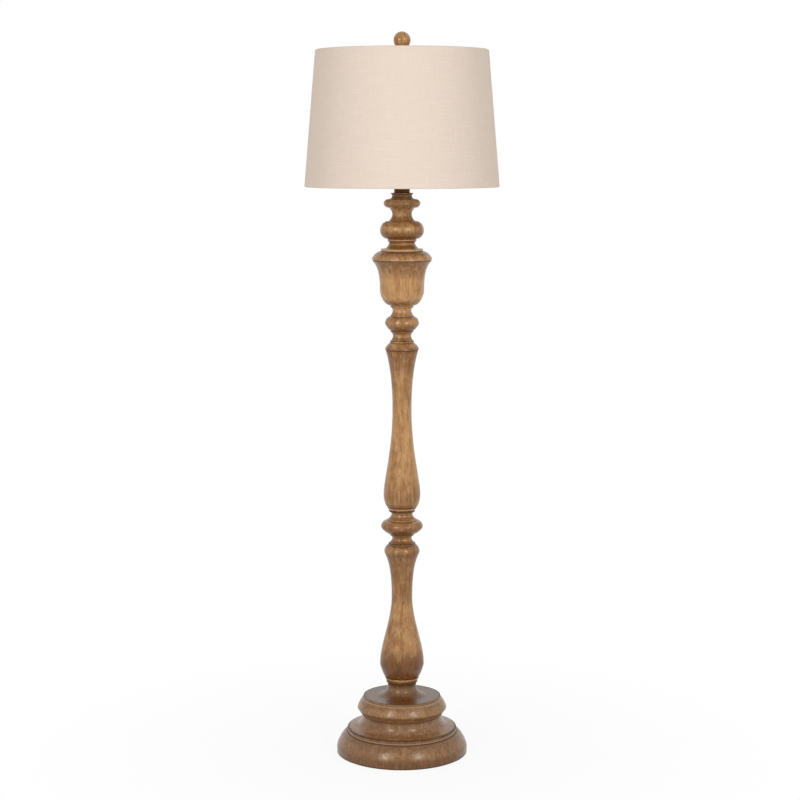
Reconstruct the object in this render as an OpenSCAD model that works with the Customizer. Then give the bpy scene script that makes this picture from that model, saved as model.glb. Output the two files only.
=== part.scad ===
// Turned wooden floor lamp with a tapered drum shade.
// Millimetres, +Z up, origin on the floor under the middle of the base, front towards -Y.
// The turned sections are stacked on one threaded pipe, each with a tenon in the section below.

/* [Pipe] */
// Outside diameter of the threaded pipe
pipe_d = 9.8; // [9:0.1:11]
// Bore of the threaded pipe
pipe_bore_d = 6.6; // [5.5:0.1:7.5]
// Gap round the pipe in the bores of the turned sections
pipe_gap = 0.6; // [0.3:0.1:1]
// Gap between two threads that are screwed together
thread_gap = 0.1; // [0.05:0.05:0.2]
// Length of pipe below the web of the plinth
pipe_tail = 12; // [10:0.5:14]
// Outside diameter of the pipe coupling
coupling_d = 14; // [13:0.5:16]
// Length of the pipe coupling
coupling_l = 22; // [16:1:26]
// Drop from the floor of the recess over the coupling to the coupling's top
coupling_drop = 1; // [0.5:0.5:3]
// Width across the flats of the pipe nuts
nut_af = 17; // [15:0.5:19]
// Thickness of the pipe nuts
nut_t = 5; // [4:0.5:6]
// Diameter of the bottom washer
washer_d = 36; // [26:1:44]
// Thickness of the bottom washer
washer_t = 2; // [1:0.5:3]

/* [Joints between turned sections] */
// Radius of the tenons
tenon_r = 12; // [10:0.5:14]
// Length of the tenons
tenon_l = 9; // [6:0.5:11]
// Gap round and below a tenon in its recess
tenon_gap = 0.2; // [0.1:0.05:0.4]

/* [Felt pad and cover] */
// Radius of the felt pad
pad_r = 140; // [130:1:141]
// Thickness of the felt pad
pad_t = 2; // [1:0.5:4]
// Radius of the hardboard cover
cover_r = 133; // [128:0.5:135]
// Thickness of the hardboard cover
cover_t = 3; // [2.5:0.5:5]
// Gap round the cover in its rebate
cover_gap = 0.5; // [0.2:0.1:1]
// Number of cover screws
screw_n = 4; // [3:1:6]
// Radius of the circle of cover screws
screw_ring_r = 122; // [119:0.5:124]
// Diameter of the head of a cover screw
screw_head_d = 8; // [6:0.5:9]
// Diameter of the shank of a cover screw
screw_d = 3.8; // [3:0.1:4.5]
// Length of a cover screw
screw_l = 18; // [12:1:25]
// Gap round the shank of a cover screw
screw_gap = 0.2; // [0.1:0.05:0.4]

/* [Base weight] */
// Radius of the cast-iron weight
weight_r = 110; // [100:1:112]
// Thickness of the cast-iron weight
weight_t = 20; // [18:1:24]
// Radius of the hole in the middle of the weight
weight_hole_r = 30; // [26:1:45]
// Gap round the weight in its recess
weight_gap = 0.8; // [0.4:0.1:1.5]
// Width of the cord slot in the weight
weight_slot_w = 14; // [12:1:20]
// Thickness of the weight left under the cord slot
weight_slot_floor = 5; // [3:0.5:7]

/* [Base plinth] */
// Height of the plinth
plinth_h = 55; // [50:1:65]
// Radius of the plinth at its foot
plinth_foot_r = 143.8; // [142:0.1:144]
// Widest radius of the plinth
plinth_r = 144; // [144:0.1:150]
// Height of the widest place above the foot
plinth_wide_z = 12; // [8:0.5:16]
// Radius of the lip on top of the plinth
plinth_lip_r = 120.5; // [118:0.5:128]
// Height of the lip
plinth_lip_h = 9; // [5:0.5:12]
// Step from the lip out to the shoulder below it
plinth_lip_step = 2; // [1:0.5:4]
// How full the shoulder of the plinth is
plinth_full = 0.3; // [0.2:0.05:0.7]

/* [Base cove] */
// Height of the hollow ring
cove_h = 31; // [24:1:40]
// Radius of the ring where it stands on the plinth
cove_foot_r = 119.5; // [112:0.5:120]
// Radius of the throat of the ring
cove_throat_r = 88; // [82:0.5:89]
// Height of the plain throat at the top
cove_throat_h = 6; // [3:0.5:10]
// Height of the small edge at the foot
cove_edge_h = 1.2; // [0.5:0.1:3]
// Radius at which the sloping ledge turns up into the hollow
cove_ledge_r = 104; // [100:1:110]
// Rise of the sloping ledge from its edge to there
cove_ledge_h = 3.6; // [1:0.2:5]
// How full the hollow of the ring is
cove_full = 0.5; // [0.3:0.05:0.7]

/* [Base riser] */
// Height of the riser's moulding, up to its flat plate
riser_plate_z = 40.6; // [36:0.2:48]
// Radius of the riser where it stands on the cove
riser_foot_r = 88.5; // [88:0.5:92]
// Widest radius of the riser
riser_r = 98.4; // [95:0.1:104]
// Height of the widest place above the riser's foot
riser_wide_z = 14; // [10:0.5:18]
// How full the round is below its widest place
riser_low_full = 0.1; // [0.1:0.05:0.7]
// How full the round is above its widest place
riser_high_full = 0.2; // [0.1:0.05:0.7]
// Radius of the quirk above the round moulding
riser_quirk_r = 85.5; // [85:0.5:90]
// Radius of the plate
riser_plate_r = 84.8; // [80:0.1:85]
// Height of the edge of the plate
riser_plate_h = 4.5; // [2:0.5:6]
// Radius of the flare where it meets the plate
riser_flare_r = 58; // [45:1:70]
// Height of the flared neck on the plate
riser_neck_h = 31.4; // [26:0.2:40]
// Least radius of the flared neck
riser_neck_r = 31.4; // [28:0.2:34]
// Height from the plate to the least radius
riser_neck_z = 23; // [18:0.5:25]
// Radius at the top of the flared neck
riser_top_r = 34.6; // [32:0.2:36]
// How full the flare is
riser_flare_full = 0.6; // [0.3:0.05:0.8]

/* [Quirks] */
// Depth of the fine grooves beside the rings and under the rims
quirk_in = 0.8; // [0.3:0.1:1.2]
// Height of such a groove
quirk_h = 1.2; // [0.8:0.1:2]

/* [Lower baluster] */
// Height of the lower baluster
lower_h = 311; // [290:1:330]
// Radius of the foot
lower_foot_r = 34.2; // [33:0.2:36]
// Height of the straight stretch of the foot
lower_foot_h = 2.5; // [1:0.5:4]
// Radius of the ring above the foot, at its upper edge
lower_ring_r = 37.4; // [36:0.1:40]
// Height of that edge
lower_ring_z = 9.5; // [8:0.5:12]
// Widest radius of the belly
lower_belly_r = 48.4; // [44:0.2:54]
// Height of the belly above the foot
lower_belly_z = 41; // [38:1:56]
// Radius of the waist
lower_waist_r = 22.7; // [20:0.1:27]
// Height of the waist above the foot
lower_waist_z = 193; // [180:1:210]
// Radius of the shoulder
lower_shoulder_r = 38.7; // [35:0.1:42]
// Height of the shoulder above the foot
lower_shoulder_z = 293; // [275:1:296]
// Radius of the fillet at the top
lower_cap_r = 29.6; // [27:0.1:32]
// Height of the fillet at the top
lower_cap_h = 4; // [2:0.5:6]
// How full the underside of the belly is
lower_foot_full = 0.2; // [0.1:0.05:0.7]
// Upright stretch above the belly, as a share of the way to the waist
lower_belly_pull = 0.3; // [0.2:0.05:0.7]
// Upright stretch below the waist, as a share of the way to the belly
lower_waist_pull = 0.38; // [0.2:0.02:0.7]
// Upright stretch above the waist, as a share of the way to the shoulder
lower_throat_pull = 0.8; // [0.3:0.05:0.85]
// Upright stretch below the shoulder, as a share of the way to the waist
lower_edge_pull = 0.08; // [0.02:0.02:0.3]
// How full the round on top of the shoulder is
lower_cap_full = 0.45; // [0.1:0.05:0.7]

/* [Middle knop] */
// Height of the middle knop
knop_h = 70.5; // [64:0.5:80]
// Radius of the knop's foot
knop_foot_r = 29.8; // [27:0.1:32]
// Radius of the lower cove
knop_low_cove_r = 21; // [19:0.1:24]
// Height of the lower cove above the foot
knop_low_cove_z = 11; // [9:0.5:13]
// Radius of the lower fillet
knop_low_fillet_r = 26.4; // [26:0.1:31]
// Height of the lower fillet above the foot
knop_low_fillet_z = 18; // [16:0.5:19]
// Height of each fillet
knop_fillet_h = 2.8; // [1.5:0.1:4]
// Widest radius of the bead
knop_bead_r = 45.7; // [40:0.1:50]
// Height of the bead above the foot
knop_bead_z = 36.5; // [34:0.5:42]
// Radius of the upper fillet
knop_high_fillet_r = 31.5; // [28:0.1:34]
// Height of the upper fillet above the foot
knop_high_fillet_z = 50.5; // [50:0.5:54]
// Radius of the upper cove
knop_high_cove_r = 22.8; // [20:0.1:24]
// Height of the upper cove above the foot
knop_high_cove_z = 64.5; // [61:0.5:66]
// Radius of the knop's top
knop_top_r = 28.4; // [27:0.1:30]
// How full the coves of the knop are
knop_cove_full = 0.3; // [0.3:0.05:0.7]
// How full the bead is below its widest place
knop_low_full = 0.3; // [0.1:0.05:0.7]
// How full the bead is above its widest place
knop_high_full = 0.6; // [0.1:0.05:0.7]

/* [Upper baluster] */
// Height of the upper baluster
upper_h = 374.5; // [350:0.5:400]
// Radius of the foot
upper_foot_r = 28.4; // [27:0.1:31]
// Height of the straight stretch of the foot
upper_foot_h = 3; // [1:0.5:4]
// Radius of the ring above the foot, at its upper edge
upper_ring_r = 32; // [31:0.1:34]
// Height of that edge
upper_ring_z = 8.5; // [7:0.5:11]
// Widest radius of the belly
upper_belly_r = 40.2; // [36:0.1:46]
// Height of the belly above the foot
upper_belly_z = 37.5; // [32:0.5:46]
// Radius of the waist
upper_waist_r = 20.8; // [19:0.1:24]
// Height of the waist above the foot
upper_waist_z = 225; // [215:1:245]
// Radius of the shoulder
upper_shoulder_r = 36.9; // [33:0.1:41]
// Height of the shoulder above the foot
upper_shoulder_z = 356; // [335:0.5:362]
// Radius of the fillet at the top
upper_cap_r = 25.8; // [24:0.1:28]
// Height of the fillet at the top
upper_cap_h = 4.5; // [2:0.5:6]
// How full the underside of the belly is
upper_foot_full = 0.45; // [0.1:0.05:0.7]
// Upright stretch above the belly, as a share of the way to the waist
upper_belly_pull = 0.18; // [0.1:0.02:0.6]
// Upright stretch below the waist, as a share of the way to the belly
upper_waist_pull = 0.48; // [0.3:0.02:0.8]
// Upright stretch above the waist, as a share of the way to the shoulder
upper_throat_pull = 0.7; // [0.3:0.05:0.8]
// Upright stretch below the shoulder, as a share of the way to the waist
upper_edge_pull = 0.02; // [0.02:0.02:0.3]
// How full the round on top of the shoulder is
upper_cap_full = 0.3; // [0.1:0.05:0.7]

/* [Neck knop] */
// Height of the neck knop
neck_h = 73; // [68:0.5:80]
// Radius of the neck knop's foot
neck_foot_r = 25.8; // [24:0.1:27]
// Radius of the lower cove
neck_low_cove_r = 19.7; // [18.5:0.1:22]
// Height of the lower cove above the foot
neck_low_cove_z = 11; // [9:0.5:13]
// Radius of the lower fillet
neck_low_fillet_r = 24.8; // [23:0.1:27]
// Height of the lower fillet above the foot
neck_low_fillet_z = 19.5; // [17:0.5:20]
// Height of each fillet
neck_fillet_h = 3; // [1.5:0.1:4]
// Widest radius of the bead
neck_bead_r = 36.9; // [33:0.1:41]
// Height of the bead above the foot
neck_bead_z = 37.5; // [36:0.5:42]
// Radius of the upper fillet
neck_high_fillet_r = 24.8; // [23:0.1:27]
// Height of the upper fillet above the foot
neck_high_fillet_z = 53; // [52:0.5:56]
// Radius of the upper cove
neck_high_cove_r = 20.2; // [18.5:0.1:22]
// Height of the upper cove above the foot
neck_high_cove_z = 66; // [63:0.5:68]
// Radius of the neck knop's top
neck_top_r = 24.6; // [23:0.1:27]
// How full the coves of the neck knop are
neck_cove_full = 0.35; // [0.3:0.05:0.7]
// How full the bead is below its widest place
neck_low_full = 0.2; // [0.1:0.05:0.7]
// How full the bead is above its widest place
neck_high_full = 0.55; // [0.1:0.05:0.7]

/* [Urn] */
// Height of the urn
urn_h = 126; // [115:1:140]
// Radius of the fillet at the foot
urn_foot_r = 25.1; // [24:0.1:27]
// Height of the fillet at the foot
urn_foot_h = 3.8; // [2:0.1:6]
// Radius of the body
urn_body_r = 47.9; // [43:0.1:52]
// Height of the body's lower round above the foot
urn_body_z = 38.5; // [30:0.5:44]
// Radius of the rim
urn_rim_r = 65.1; // [58:0.1:72]
// Height of the rim above the foot
urn_rim_z = 103; // [92:0.5:106]
// Radius at the top of the lid's round
urn_lid_r = 46.5; // [46:0.5:53]
// Height of the lid's round above the foot
urn_lid_z = 120.5; // [114:0.5:121]
// Radius of the plate on top of the lid
urn_cap_r = 45.6; // [40:0.1:46]
// How full the lower round of the body is
urn_foot_full = 0.5; // [0.3:0.05:0.7]
// Upright stretch at the bottom of the body, as a share of the way to the rim
urn_body_pull = 0.9; // [0.4:0.05:0.9]
// Upright stretch under the rim, as a share of the way to the body
urn_rim_pull = 0.08; // [0.02:0.02:0.2]
// How full the round of the lid is
urn_lid_full = 0.4; // [0.2:0.05:0.7]

/* [Top turning] */
// Height of the top turning
top_h = 119.5; // [112:0.5:130]
// Radius of the foot
top_foot_r = 38; // [34:0.5:42]
// Radius of the lower cove
top_low_cove_r = 27.9; // [25:0.1:30]
// Height of the lower cove above the foot
top_low_cove_z = 12; // [9:0.5:13]
// Radius of the fillet under the torus
top_fillet_r = 31.2; // [29:0.1:35]
// Height of the fillet under the torus, above the foot
top_fillet_z = 16.5; // [15:0.5:17]
// Height of that fillet
top_fillet_h = 4.8; // [3:0.1:6]
// Widest radius of the torus
top_torus_r = 47.2; // [43:0.1:52]
// Height of the torus above the foot
top_torus_z = 39.5; // [34:0.5:44]
// Radius at the top of the torus
top_torus_top_r = 30; // [28:0.5:34]
// Height of the top of the torus above the foot
top_torus_top_z = 59.5; // [56:0.5:62]
// Radius of the throat
top_throat_r = 21.2; // [19.5:0.1:24]
// Height of the throat above the foot
top_throat_z = 74.5; // [70:0.5:78]
// Radius under the upper bead
top_bead_foot_r = 30.5; // [26:0.5:32]
// Height of the upper bead's lower edge above the foot
top_bead_foot_z = 88; // [84:0.5:89]
// Widest radius of the upper bead
top_bead_r = 39.6; // [36:0.1:44]
// Height of the upper bead above the foot
top_bead_z = 97.5; // [94:0.5:100]
// Radius at the top of the upper bead
top_bead_top_r = 28.5; // [26:0.5:30]
// Height of the top of the upper bead above the foot
top_bead_top_z = 106.5; // [104:0.5:107]
// Radius of the collar
top_collar_r = 21.6; // [20:0.1:23]
// Height of the collar's narrowest place above the foot
top_collar_z = 113; // [111:0.5:114]
// Radius of the lip at the very top
top_lip_r = 24.2; // [23:0.1:26]
// Thickness of that lip
top_lip_t = 2; // [1:0.1:3]
// How full the lower cove is
top_cove_full = 0.3; // [0.3:0.05:0.7]
// How full the torus is below its widest place
top_torus_low_full = 0.55; // [0.2:0.05:0.7]
// How full the torus is above its widest place
top_torus_high_full = 0.55; // [0.2:0.05:0.7]
// How full the throat is
top_throat_full = 0.45; // [0.3:0.05:0.75]
// How full the upper bead is
top_bead_full = 0.5; // [0.2:0.05:0.7]
// How full the collar is
top_collar_full = 0.6; // [0.3:0.05:0.75]

/* [Neck tube] */
// Radius of the dark metal neck tube
tube_r = 17; // [15:0.5:19]
// Height of the neck tube
tube_h = 24; // [20:1:30]
// Wall of the neck tube
tube_wall = 1.5; // [1:0.1:2]

/* [Harp] */
// Thickness of the saddle strip
saddle_t = 1.6; // [1:0.1:2.5]
// Width of the saddle strip
saddle_w = 12; // [10:0.5:16]
// Width of the upright tabs at the saddle's ends
saddle_tab_w = 3; // [2:0.5:4]
// Height of the upright tabs above the saddle's seat
saddle_tab_h = 18; // [14:1:22]
// Distance from the axis to the inner face of a tab
saddle_reach = 29; // [27:0.5:34]
// Diameter of the harp wire
harp_wire_d = 3.2; // [2.5:0.1:3.5]
// Growth of the small weld bead where two stretches of wire meet
harp_bead = 0.1; // [0.06:0.02:0.2]
// Height of the harp from the saddle's seat to the seat of the shade
harp_h = 261.5; // [230:0.5:300]
// Radius of the bend above each leg
harp_bend_r = 80; // [50:5:110]
// Lean of the wire above that bend, in degrees
harp_lean = 20; // [15:1:24]
// Radius of the long sides
harp_side_r = 246; // [180:2:255]
// Lean of the wire where the side meets the top curve, in degrees
harp_top_lean = 22; // [16:1:26]
// Radius of the seat that carries the shade
harp_seat_r = 9; // [8:0.5:11]
// Thickness of that seat
harp_seat_t = 4; // [3.6:0.1:6]
// Diameter of the threaded stud
stud_d = 5.8; // [5:0.1:6.5]
// Length of the threaded stud above the seat
stud_l = 11; // [9.5:0.5:14]
// Length of a harp sleeve
sleeve_l = 14; // [12:0.5:18]
// Wall of a harp sleeve
sleeve_wall = 0.9; // [0.6:0.1:1.5]
// Gap round the tab and the wire in a sleeve
sleeve_gap = 0.3; // [0.2:0.05:0.5]

/* [Socket] */
// Radius of the flat underside of the socket cap
cap_foot_r = 10; // [8:0.5:12]
// Height of the cap's round shoulder
cap_shoulder_h = 9; // [6:0.5:11]
// How full that shoulder is
cap_full = 0.55; // [0.3:0.05:0.7]
// Height of the socket cap
cap_h = 22; // [18:0.5:26]
// Height of the cap's threaded hub
cap_hub_h = 8; // [6:0.5:10]
// Wall of the cap's hub
cap_hub_wall = 2; // [1.2:0.1:3]
// Thickness of the stamped brass
brass_t = 0.8; // [0.5:0.1:1.2]
// Gap between nested parts of the socket
nest_gap = 0.2; // [0.1:0.05:0.3]
// Height of the socket shell
shell_h = 56; // [52:1:62]
// Depth of the shell in the cap
shell_in_cap = 10; // [6:0.5:11]
// Thickness of the paper liner
paper_t = 0.7; // [0.4:0.1:1]
// Drop from the shell's edge to the liner's edge
liner_drop = 1; // [0.5:0.5:3]
// Height of the socket body's foot above the shell's foot
body_rise = 1; // [0.5:0.5:2]
// Height of the socket body with the switch
switch_body_h = 26; // [22:1:30]
// Thickness of the screw shell
screw_shell_t = 0.6; // [0.4:0.1:0.8]
// Height of the screw shell
screw_shell_h = 26; // [24:1:28]
// Radius of the hole in the foot of the screw shell
screw_shell_hole_r = 6; // [5.5:0.1:8]
// Radius of the centre contact
contact_r = 3.5; // [3:0.1:5]
// Height of the centre contact
contact_h = 2.4; // [2:0.1:4]

/* [Switch] */
// Diameter of the switch stem
stem_d = 4; // [3:0.1:5]
// Gap round the stem
stem_gap = 0.3; // [0.2:0.05:0.5]
// Depth of the stem in the socket body
stem_in = 8; // [6:0.5:10]
// Gap between the socket shell and the knob
knob_gap = 4; // [2:0.5:8]
// Radius of the knob
knob_r = 7; // [6:0.2:9]
// Length of the knob
knob_l = 12; // [9:0.5:16]
// Number of flutes round the knob
knob_flutes = 12; // [8:1:16]
// Radius of a flute
flute_r = 0.9; // [0.6:0.1:1.2]

/* [Bulb] */
// Radius of the bulb's contact
bulb_contact_r = 4.8; // [3.5:0.1:5.5]
// Height of the bulb's contact
bulb_contact_h = 1.6; // [1:0.1:2.5]
// Lower radius of the bulb's insulator
insulator_low_r = 6.5; // [5.6:0.1:8]
// Upper radius of the bulb's insulator
insulator_high_r = 11; // [9:0.1:11.5]
// Height of the bulb's insulator
insulator_h = 3.4; // [2.5:0.1:5]
// Height of the chamfer at the foot of the bulb's cap
bulb_cap_chamfer = 2; // [1:0.1:3]
// Radius of the bulb's cap
bulb_cap_r = 13; // [12.8:0.05:13.2]
// Gap between the bulb's cap and the screw shell
bulb_gap = 0.3; // [0.2:0.05:0.4]
// Height of the bulb's cap
bulb_cap_h = 22; // [20:0.5:24]
// Radius of the bulb's globe
bulb_r = 30; // [26:0.5:32]
// Height of the bulb from its contact to its top
bulb_h = 107; // [100:1:115]
// Wall of the glass
bulb_wall = 1; // [0.8:0.1:1.5]
// Depth of the glass neck in the bulb's cap
bulb_neck_in = 5; // [3:0.5:8]
// Length of the straight glass neck above the cap
bulb_neck_h = 4; // [2:0.5:8]
// Pull of the glass towards upright above its neck, as a share of the sweep
bulb_low_pull = 0.45; // [0.2:0.05:0.6]
// Pull of the glass towards upright below its globe, as a share of the sweep
bulb_high_pull = 0.5; // [0.3:0.05:0.6]

/* [Shade] */
// Radius of the shade at its bottom edge
shade_bottom_r = 209; // [190:1:230]
// Radius of the shade at its top edge
shade_top_r = 185; // [160:1:200]
// Height of the shade
shade_h = 290; // [270:1:310]
// Drop from the shade's top edge to the top of its washer
shade_drop = 15.5; // [12:0.5:20]
// Thickness of the linen
linen_t = 0.8; // [0.5:0.1:1.2]
// Thickness of the stiff liner
liner_t = 0.8; // [0.5:0.1:1.2]
// Gap for the glue between linen and liner
glue_gap = 0.1; // [0.05:0.05:0.2]
// Diameter of the ring wire
ring_d = 3; // [2.9:0.1:4]
// Gap between the ring wire and the linen rolled over it
roll_gap = 0.15; // [0.1:0.05:0.3]
// Length of linen turned in below a ring
turn_in = 9; // [6:0.5:14]
// Diameter of the spider's arms
arm_d = 2.6; // [2:0.1:2.8]
// Radius of the spider's washer
spider_r = 14; // [12:0.5:18]
// Thickness of the spider's washer
spider_t = 1.5; // [1:0.1:2.5]
// Radius of the hole in the spider's washer
spider_hole_r = 5.2; // [3.8:0.1:6]
// Width of the slits in the turned-in linen for the arms
slit_w = 6; // [5:0.5:10]

/* [Finial] */
// Radius of the ball
ball_r = 18.2; // [15:0.1:22]
// Height of the ball's lowest point above the shade's top edge
ball_gap = 2; // [1:0.5:6]
// Radius of the insert's flange
insert_flange_r = 8; // [7:0.1:9]
// Thickness of the insert's flange
insert_flange_t = 2.5; // [1.5:0.1:4]
// Radius of the insert's stem
insert_r = 5.5; // [4.8:0.1:7]
// Depth of the stem in the ball
insert_in = 14; // [9:0.5:18]
// Gap round the threaded stud in the insert
stud_gap = 0.3; // [0.2:0.05:0.5]

/* [Cord bushing] */
// Height of the cord hole's axis above the floor of the weight's slot
cord_rise = 7; // [5.5:0.5:9]
// Depth of the bushing's face behind the widest radius of the plinth
bushing_inset = 1.2; // [0.5:0.1:3]
// Radius of the cord hole
cord_hole_r = 4.2; // [3.5:0.1:5]
// Wall of the bushing
bushing_wall = 1.6; // [1:0.1:2.5]
// Radius of the bushing's flange
bushing_flange_r = 8.5; // [7.5:0.1:10]
// Thickness of the bushing's flange
bushing_flange_t = 3; // [2:0.1:4]
// Gap round the bushing
bushing_gap = 0.2; // [0.1:0.05:0.4]

/* [Hidden] */
$fn = 96;

// Steps of a quarter curve and of a long sweep in a turned outline
arc_steps = 8;
sweep_steps = 14;
// Depth by which a cutting body runs past the face that it cuts
past = 1;
// Number of arms of the shade's spider
arm_n = 3;

// Heights of the stack, from the floor up
plinth_z = pad_t;
cove_z = plinth_z + plinth_h;
riser_z = cove_z + cove_h;
riser_h = riser_plate_z + riser_neck_h;
lower_z = riser_z + riser_h;
knop_z = lower_z + lower_h;
upper_z = knop_z + knop_h;
neck_z = upper_z + upper_h;
urn_z = neck_z + neck_h;
top_z = urn_z + urn_h;
tube_z = top_z + top_h;
saddle_z = tube_z + tube_h;
saddle_top_z = saddle_z + saddle_t;
cap_z = saddle_top_z + nut_t;

// Radii and depths that fit the pipe and the tenons
pipe_r = pipe_d / 2;
bore_r = pipe_r + pipe_gap;
thread_r = pipe_r + thread_gap;
coupling_bore_r = coupling_d / 2 + pipe_gap;
recess_r = tenon_r + tenon_gap;
recess_l = tenon_l + tenon_gap;

// Levels under the web of the plinth
cover_z = pad_t;
cover_recess_r = cover_r + cover_gap;
weight_z = cover_z + cover_t;
weight_recess_r = weight_r + weight_gap;
web_z = weight_z + weight_t;
washer_z = web_z - washer_t;
pipe_foot_z = web_z - pipe_tail;
pipe_top_z = cap_z + cap_hub_h;
cord_z = weight_z + weight_slot_floor + cord_rise;
bushing_y = plinth_r - bushing_inset;

// The coupling stands in the middle knop, below the recess for the tenon of the upper baluster
coupling_z = knop_z + knop_h - recess_l - coupling_l - coupling_drop;
pipe_joint_z = coupling_z + coupling_l / 2;

// Radii of the socket, from the bulb's cap out
screw_shell_r = bulb_cap_r + bulb_gap + screw_shell_t;
liner_r = screw_shell_r + nest_gap + paper_t;
body_r = liner_r - paper_t - nest_gap;
shell_r = liner_r + nest_gap + brass_t;
cap_r = shell_r + nest_gap + brass_t;

// Levels of the socket, from its cap up
shell_z = cap_z + cap_h - shell_in_cap;
body_z = shell_z + body_rise;
contact_z = body_z + switch_body_h;
bulb_z = contact_z + contact_h;
stem_z = body_z + switch_body_h / 2;
stem_r = stem_d / 2;
knob_y = shell_r + knob_gap;

// Levels of the bulb, above its contact
insulator_z = bulb_z + bulb_contact_h;
bulb_cap_z = insulator_z + insulator_h;
bulb_rim_z = bulb_cap_z + bulb_cap_h;
globe_z = bulb_z + bulb_h - bulb_r;
bulb_cap_inner_r = bulb_cap_r - bulb_wall;
bulb_neck_r = bulb_cap_inner_r - bulb_gap;

// Harp: each side is a straight leg, a bend, a long side and a crown, with tangent joints
leg_x = saddle_reach + saddle_t + thread_gap + harp_wire_d / 2;
saddle_end_x = leg_x + harp_wire_d / 2;
harp_seat_z = saddle_z + harp_h;
harp_top_z = harp_seat_z - harp_seat_t / 2;
crown_x = harp_seat_r / 2;
side_x = leg_x + harp_bend_r * (1 - cos(harp_lean)) - harp_side_r * cos(harp_lean);
harp_crown_r = (side_x + harp_side_r * cos(harp_top_lean) - crown_x) / cos(harp_top_lean);
crown_z = harp_top_z - harp_crown_r;
side_z = crown_z + (harp_crown_r - harp_side_r) * sin(harp_top_lean);
bend_z = side_z - (harp_side_r + harp_bend_r) * sin(harp_lean);
sleeve_x = (saddle_reach + saddle_end_x) / 2;
sleeve_r = norm([sleeve_x - saddle_reach, saddle_tab_w / 2]) + sleeve_gap;

// Shade, from its washer
spider_z = harp_seat_z;
insert_z = spider_z + spider_t;
shade_top_z = insert_z + shade_drop;
shade_bottom_z = shade_top_z - shade_h;
roll_r = ring_d / 2 + roll_gap + linen_t;
top_ring_r = shade_top_r - roll_r;
top_ring_z = shade_top_z - roll_r;
bottom_ring_r = shade_bottom_r - roll_r;
bottom_ring_z = shade_bottom_z + roll_r;
shade_slope = (shade_bottom_r - shade_top_r) / (top_ring_z - bottom_ring_z);
arm_start_r = spider_r - spider_t;

// Finial
ball_z = shade_top_z + ball_gap + ball_r;
insert_top_z = ball_z - ball_r + insert_in;
stud_bore_r = stud_d / 2 + stud_gap;

wood = [0.64, 0.48, 0.31];
base_wood = [0.53, 0.42, 0.32];
brass = [0.78, 0.63, 0.34];
steel = [0.66, 0.67, 0.69];
bronze = [0.24, 0.16, 0.10];
phenolic = [0.10, 0.10, 0.10];

// Point at t on the cubic curve from a to d, which is drawn towards b and c
function bezier(a, b, c, d, t) =
    let (u = 1 - t) u * u * u * a + 3 * u * u * t * b + 3 * u * t * t * c + t * t * t * d;

// Quarter curve that leaves a level and reaches b upright.
// At a fullness of 0.55 it is an ellipse, and a smaller one is flatter.
function rise(a, b, full) = [for (i = [1:arc_steps])
    bezier(a, a + [full * (b[0] - a[0]), 0], b - [0, full * (b[1] - a[1])], b, i / arc_steps)];

// Quarter curve that leaves a upright and reaches b level
function fall(a, b, full) = [for (i = [1:arc_steps])
    bezier(a, a + [0, full * (b[1] - a[1])], b - [full * (b[0] - a[0]), 0], b, i / arc_steps)];

// Long curve that is upright at both ends, for a stretch there of a given share of its height
function sweep(a, b, low, high) = [for (i = [1:sweep_steps])
    bezier(a, a + [0, low * (b[1] - a[1])], b - [0, high * (b[1] - a[1])], b, i / sweep_steps)];

// Outlines of the turned sections, as [radius, height above the section's foot] from the foot up.
// The quirk under a rim goes in from the edge of the body below it.
under_rim = [-2 * quirk_in, -2 * quirk_h];
rim_quirk = [-3 * quirk_in, -quirk_h];

function plinth_outline() = let (shoulder_z = plinth_h - plinth_lip_h) concat(
    [[plinth_foot_r, 0]],
    rise([plinth_foot_r, 0], [plinth_r, plinth_wide_z], plinth_full),
    fall([plinth_r, plinth_wide_z], [plinth_lip_r + plinth_lip_step, shoulder_z], plinth_full),
    [[plinth_lip_r, shoulder_z], [plinth_lip_r, plinth_h]]);

function cove_outline() = let (ledge_at = [cove_ledge_r, cove_edge_h + cove_ledge_h]) concat(
    [[cove_foot_r, 0], [cove_foot_r, cove_edge_h], ledge_at],
    rise(ledge_at, [cove_throat_r, cove_h - cove_throat_h], cove_full),
    [[cove_throat_r, cove_h]]);

function riser_outline() = let (
    quirk_z = riser_plate_z - riser_plate_h,
    neck_at = [riser_neck_r, riser_plate_z + riser_neck_z]) concat(
    [[riser_foot_r, 0]],
    rise([riser_foot_r, 0], [riser_r, riser_wide_z], riser_low_full),
    fall([riser_r, riser_wide_z], [riser_quirk_r, quirk_z], riser_high_full),
    [[riser_plate_r, quirk_z], [riser_plate_r, riser_plate_z], [riser_flare_r, riser_plate_z]],
    rise([riser_flare_r, riser_plate_z], neck_at, riser_flare_full),
    fall(neck_at, [riser_top_r, riser_h], riser_flare_full));

function lower_outline() = let (
    ring_at = [lower_ring_r, lower_ring_z],
    quirk_at = ring_at + [-quirk_in, quirk_h],
    belly_at = [lower_belly_r, lower_belly_z],
    waist_at = [lower_waist_r, lower_waist_z],
    shoulder_at = [lower_shoulder_r, lower_shoulder_z]) concat(
    [[lower_foot_r, 0], [lower_foot_r, lower_foot_h], ring_at, quirk_at],
    rise(quirk_at, belly_at, lower_foot_full),
    sweep(belly_at, waist_at, lower_belly_pull, lower_waist_pull),
    sweep(waist_at, shoulder_at, lower_throat_pull, lower_edge_pull),
    fall(shoulder_at, [lower_cap_r, lower_h - lower_cap_h], lower_cap_full),
    [[lower_cap_r, lower_h]]);

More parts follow.
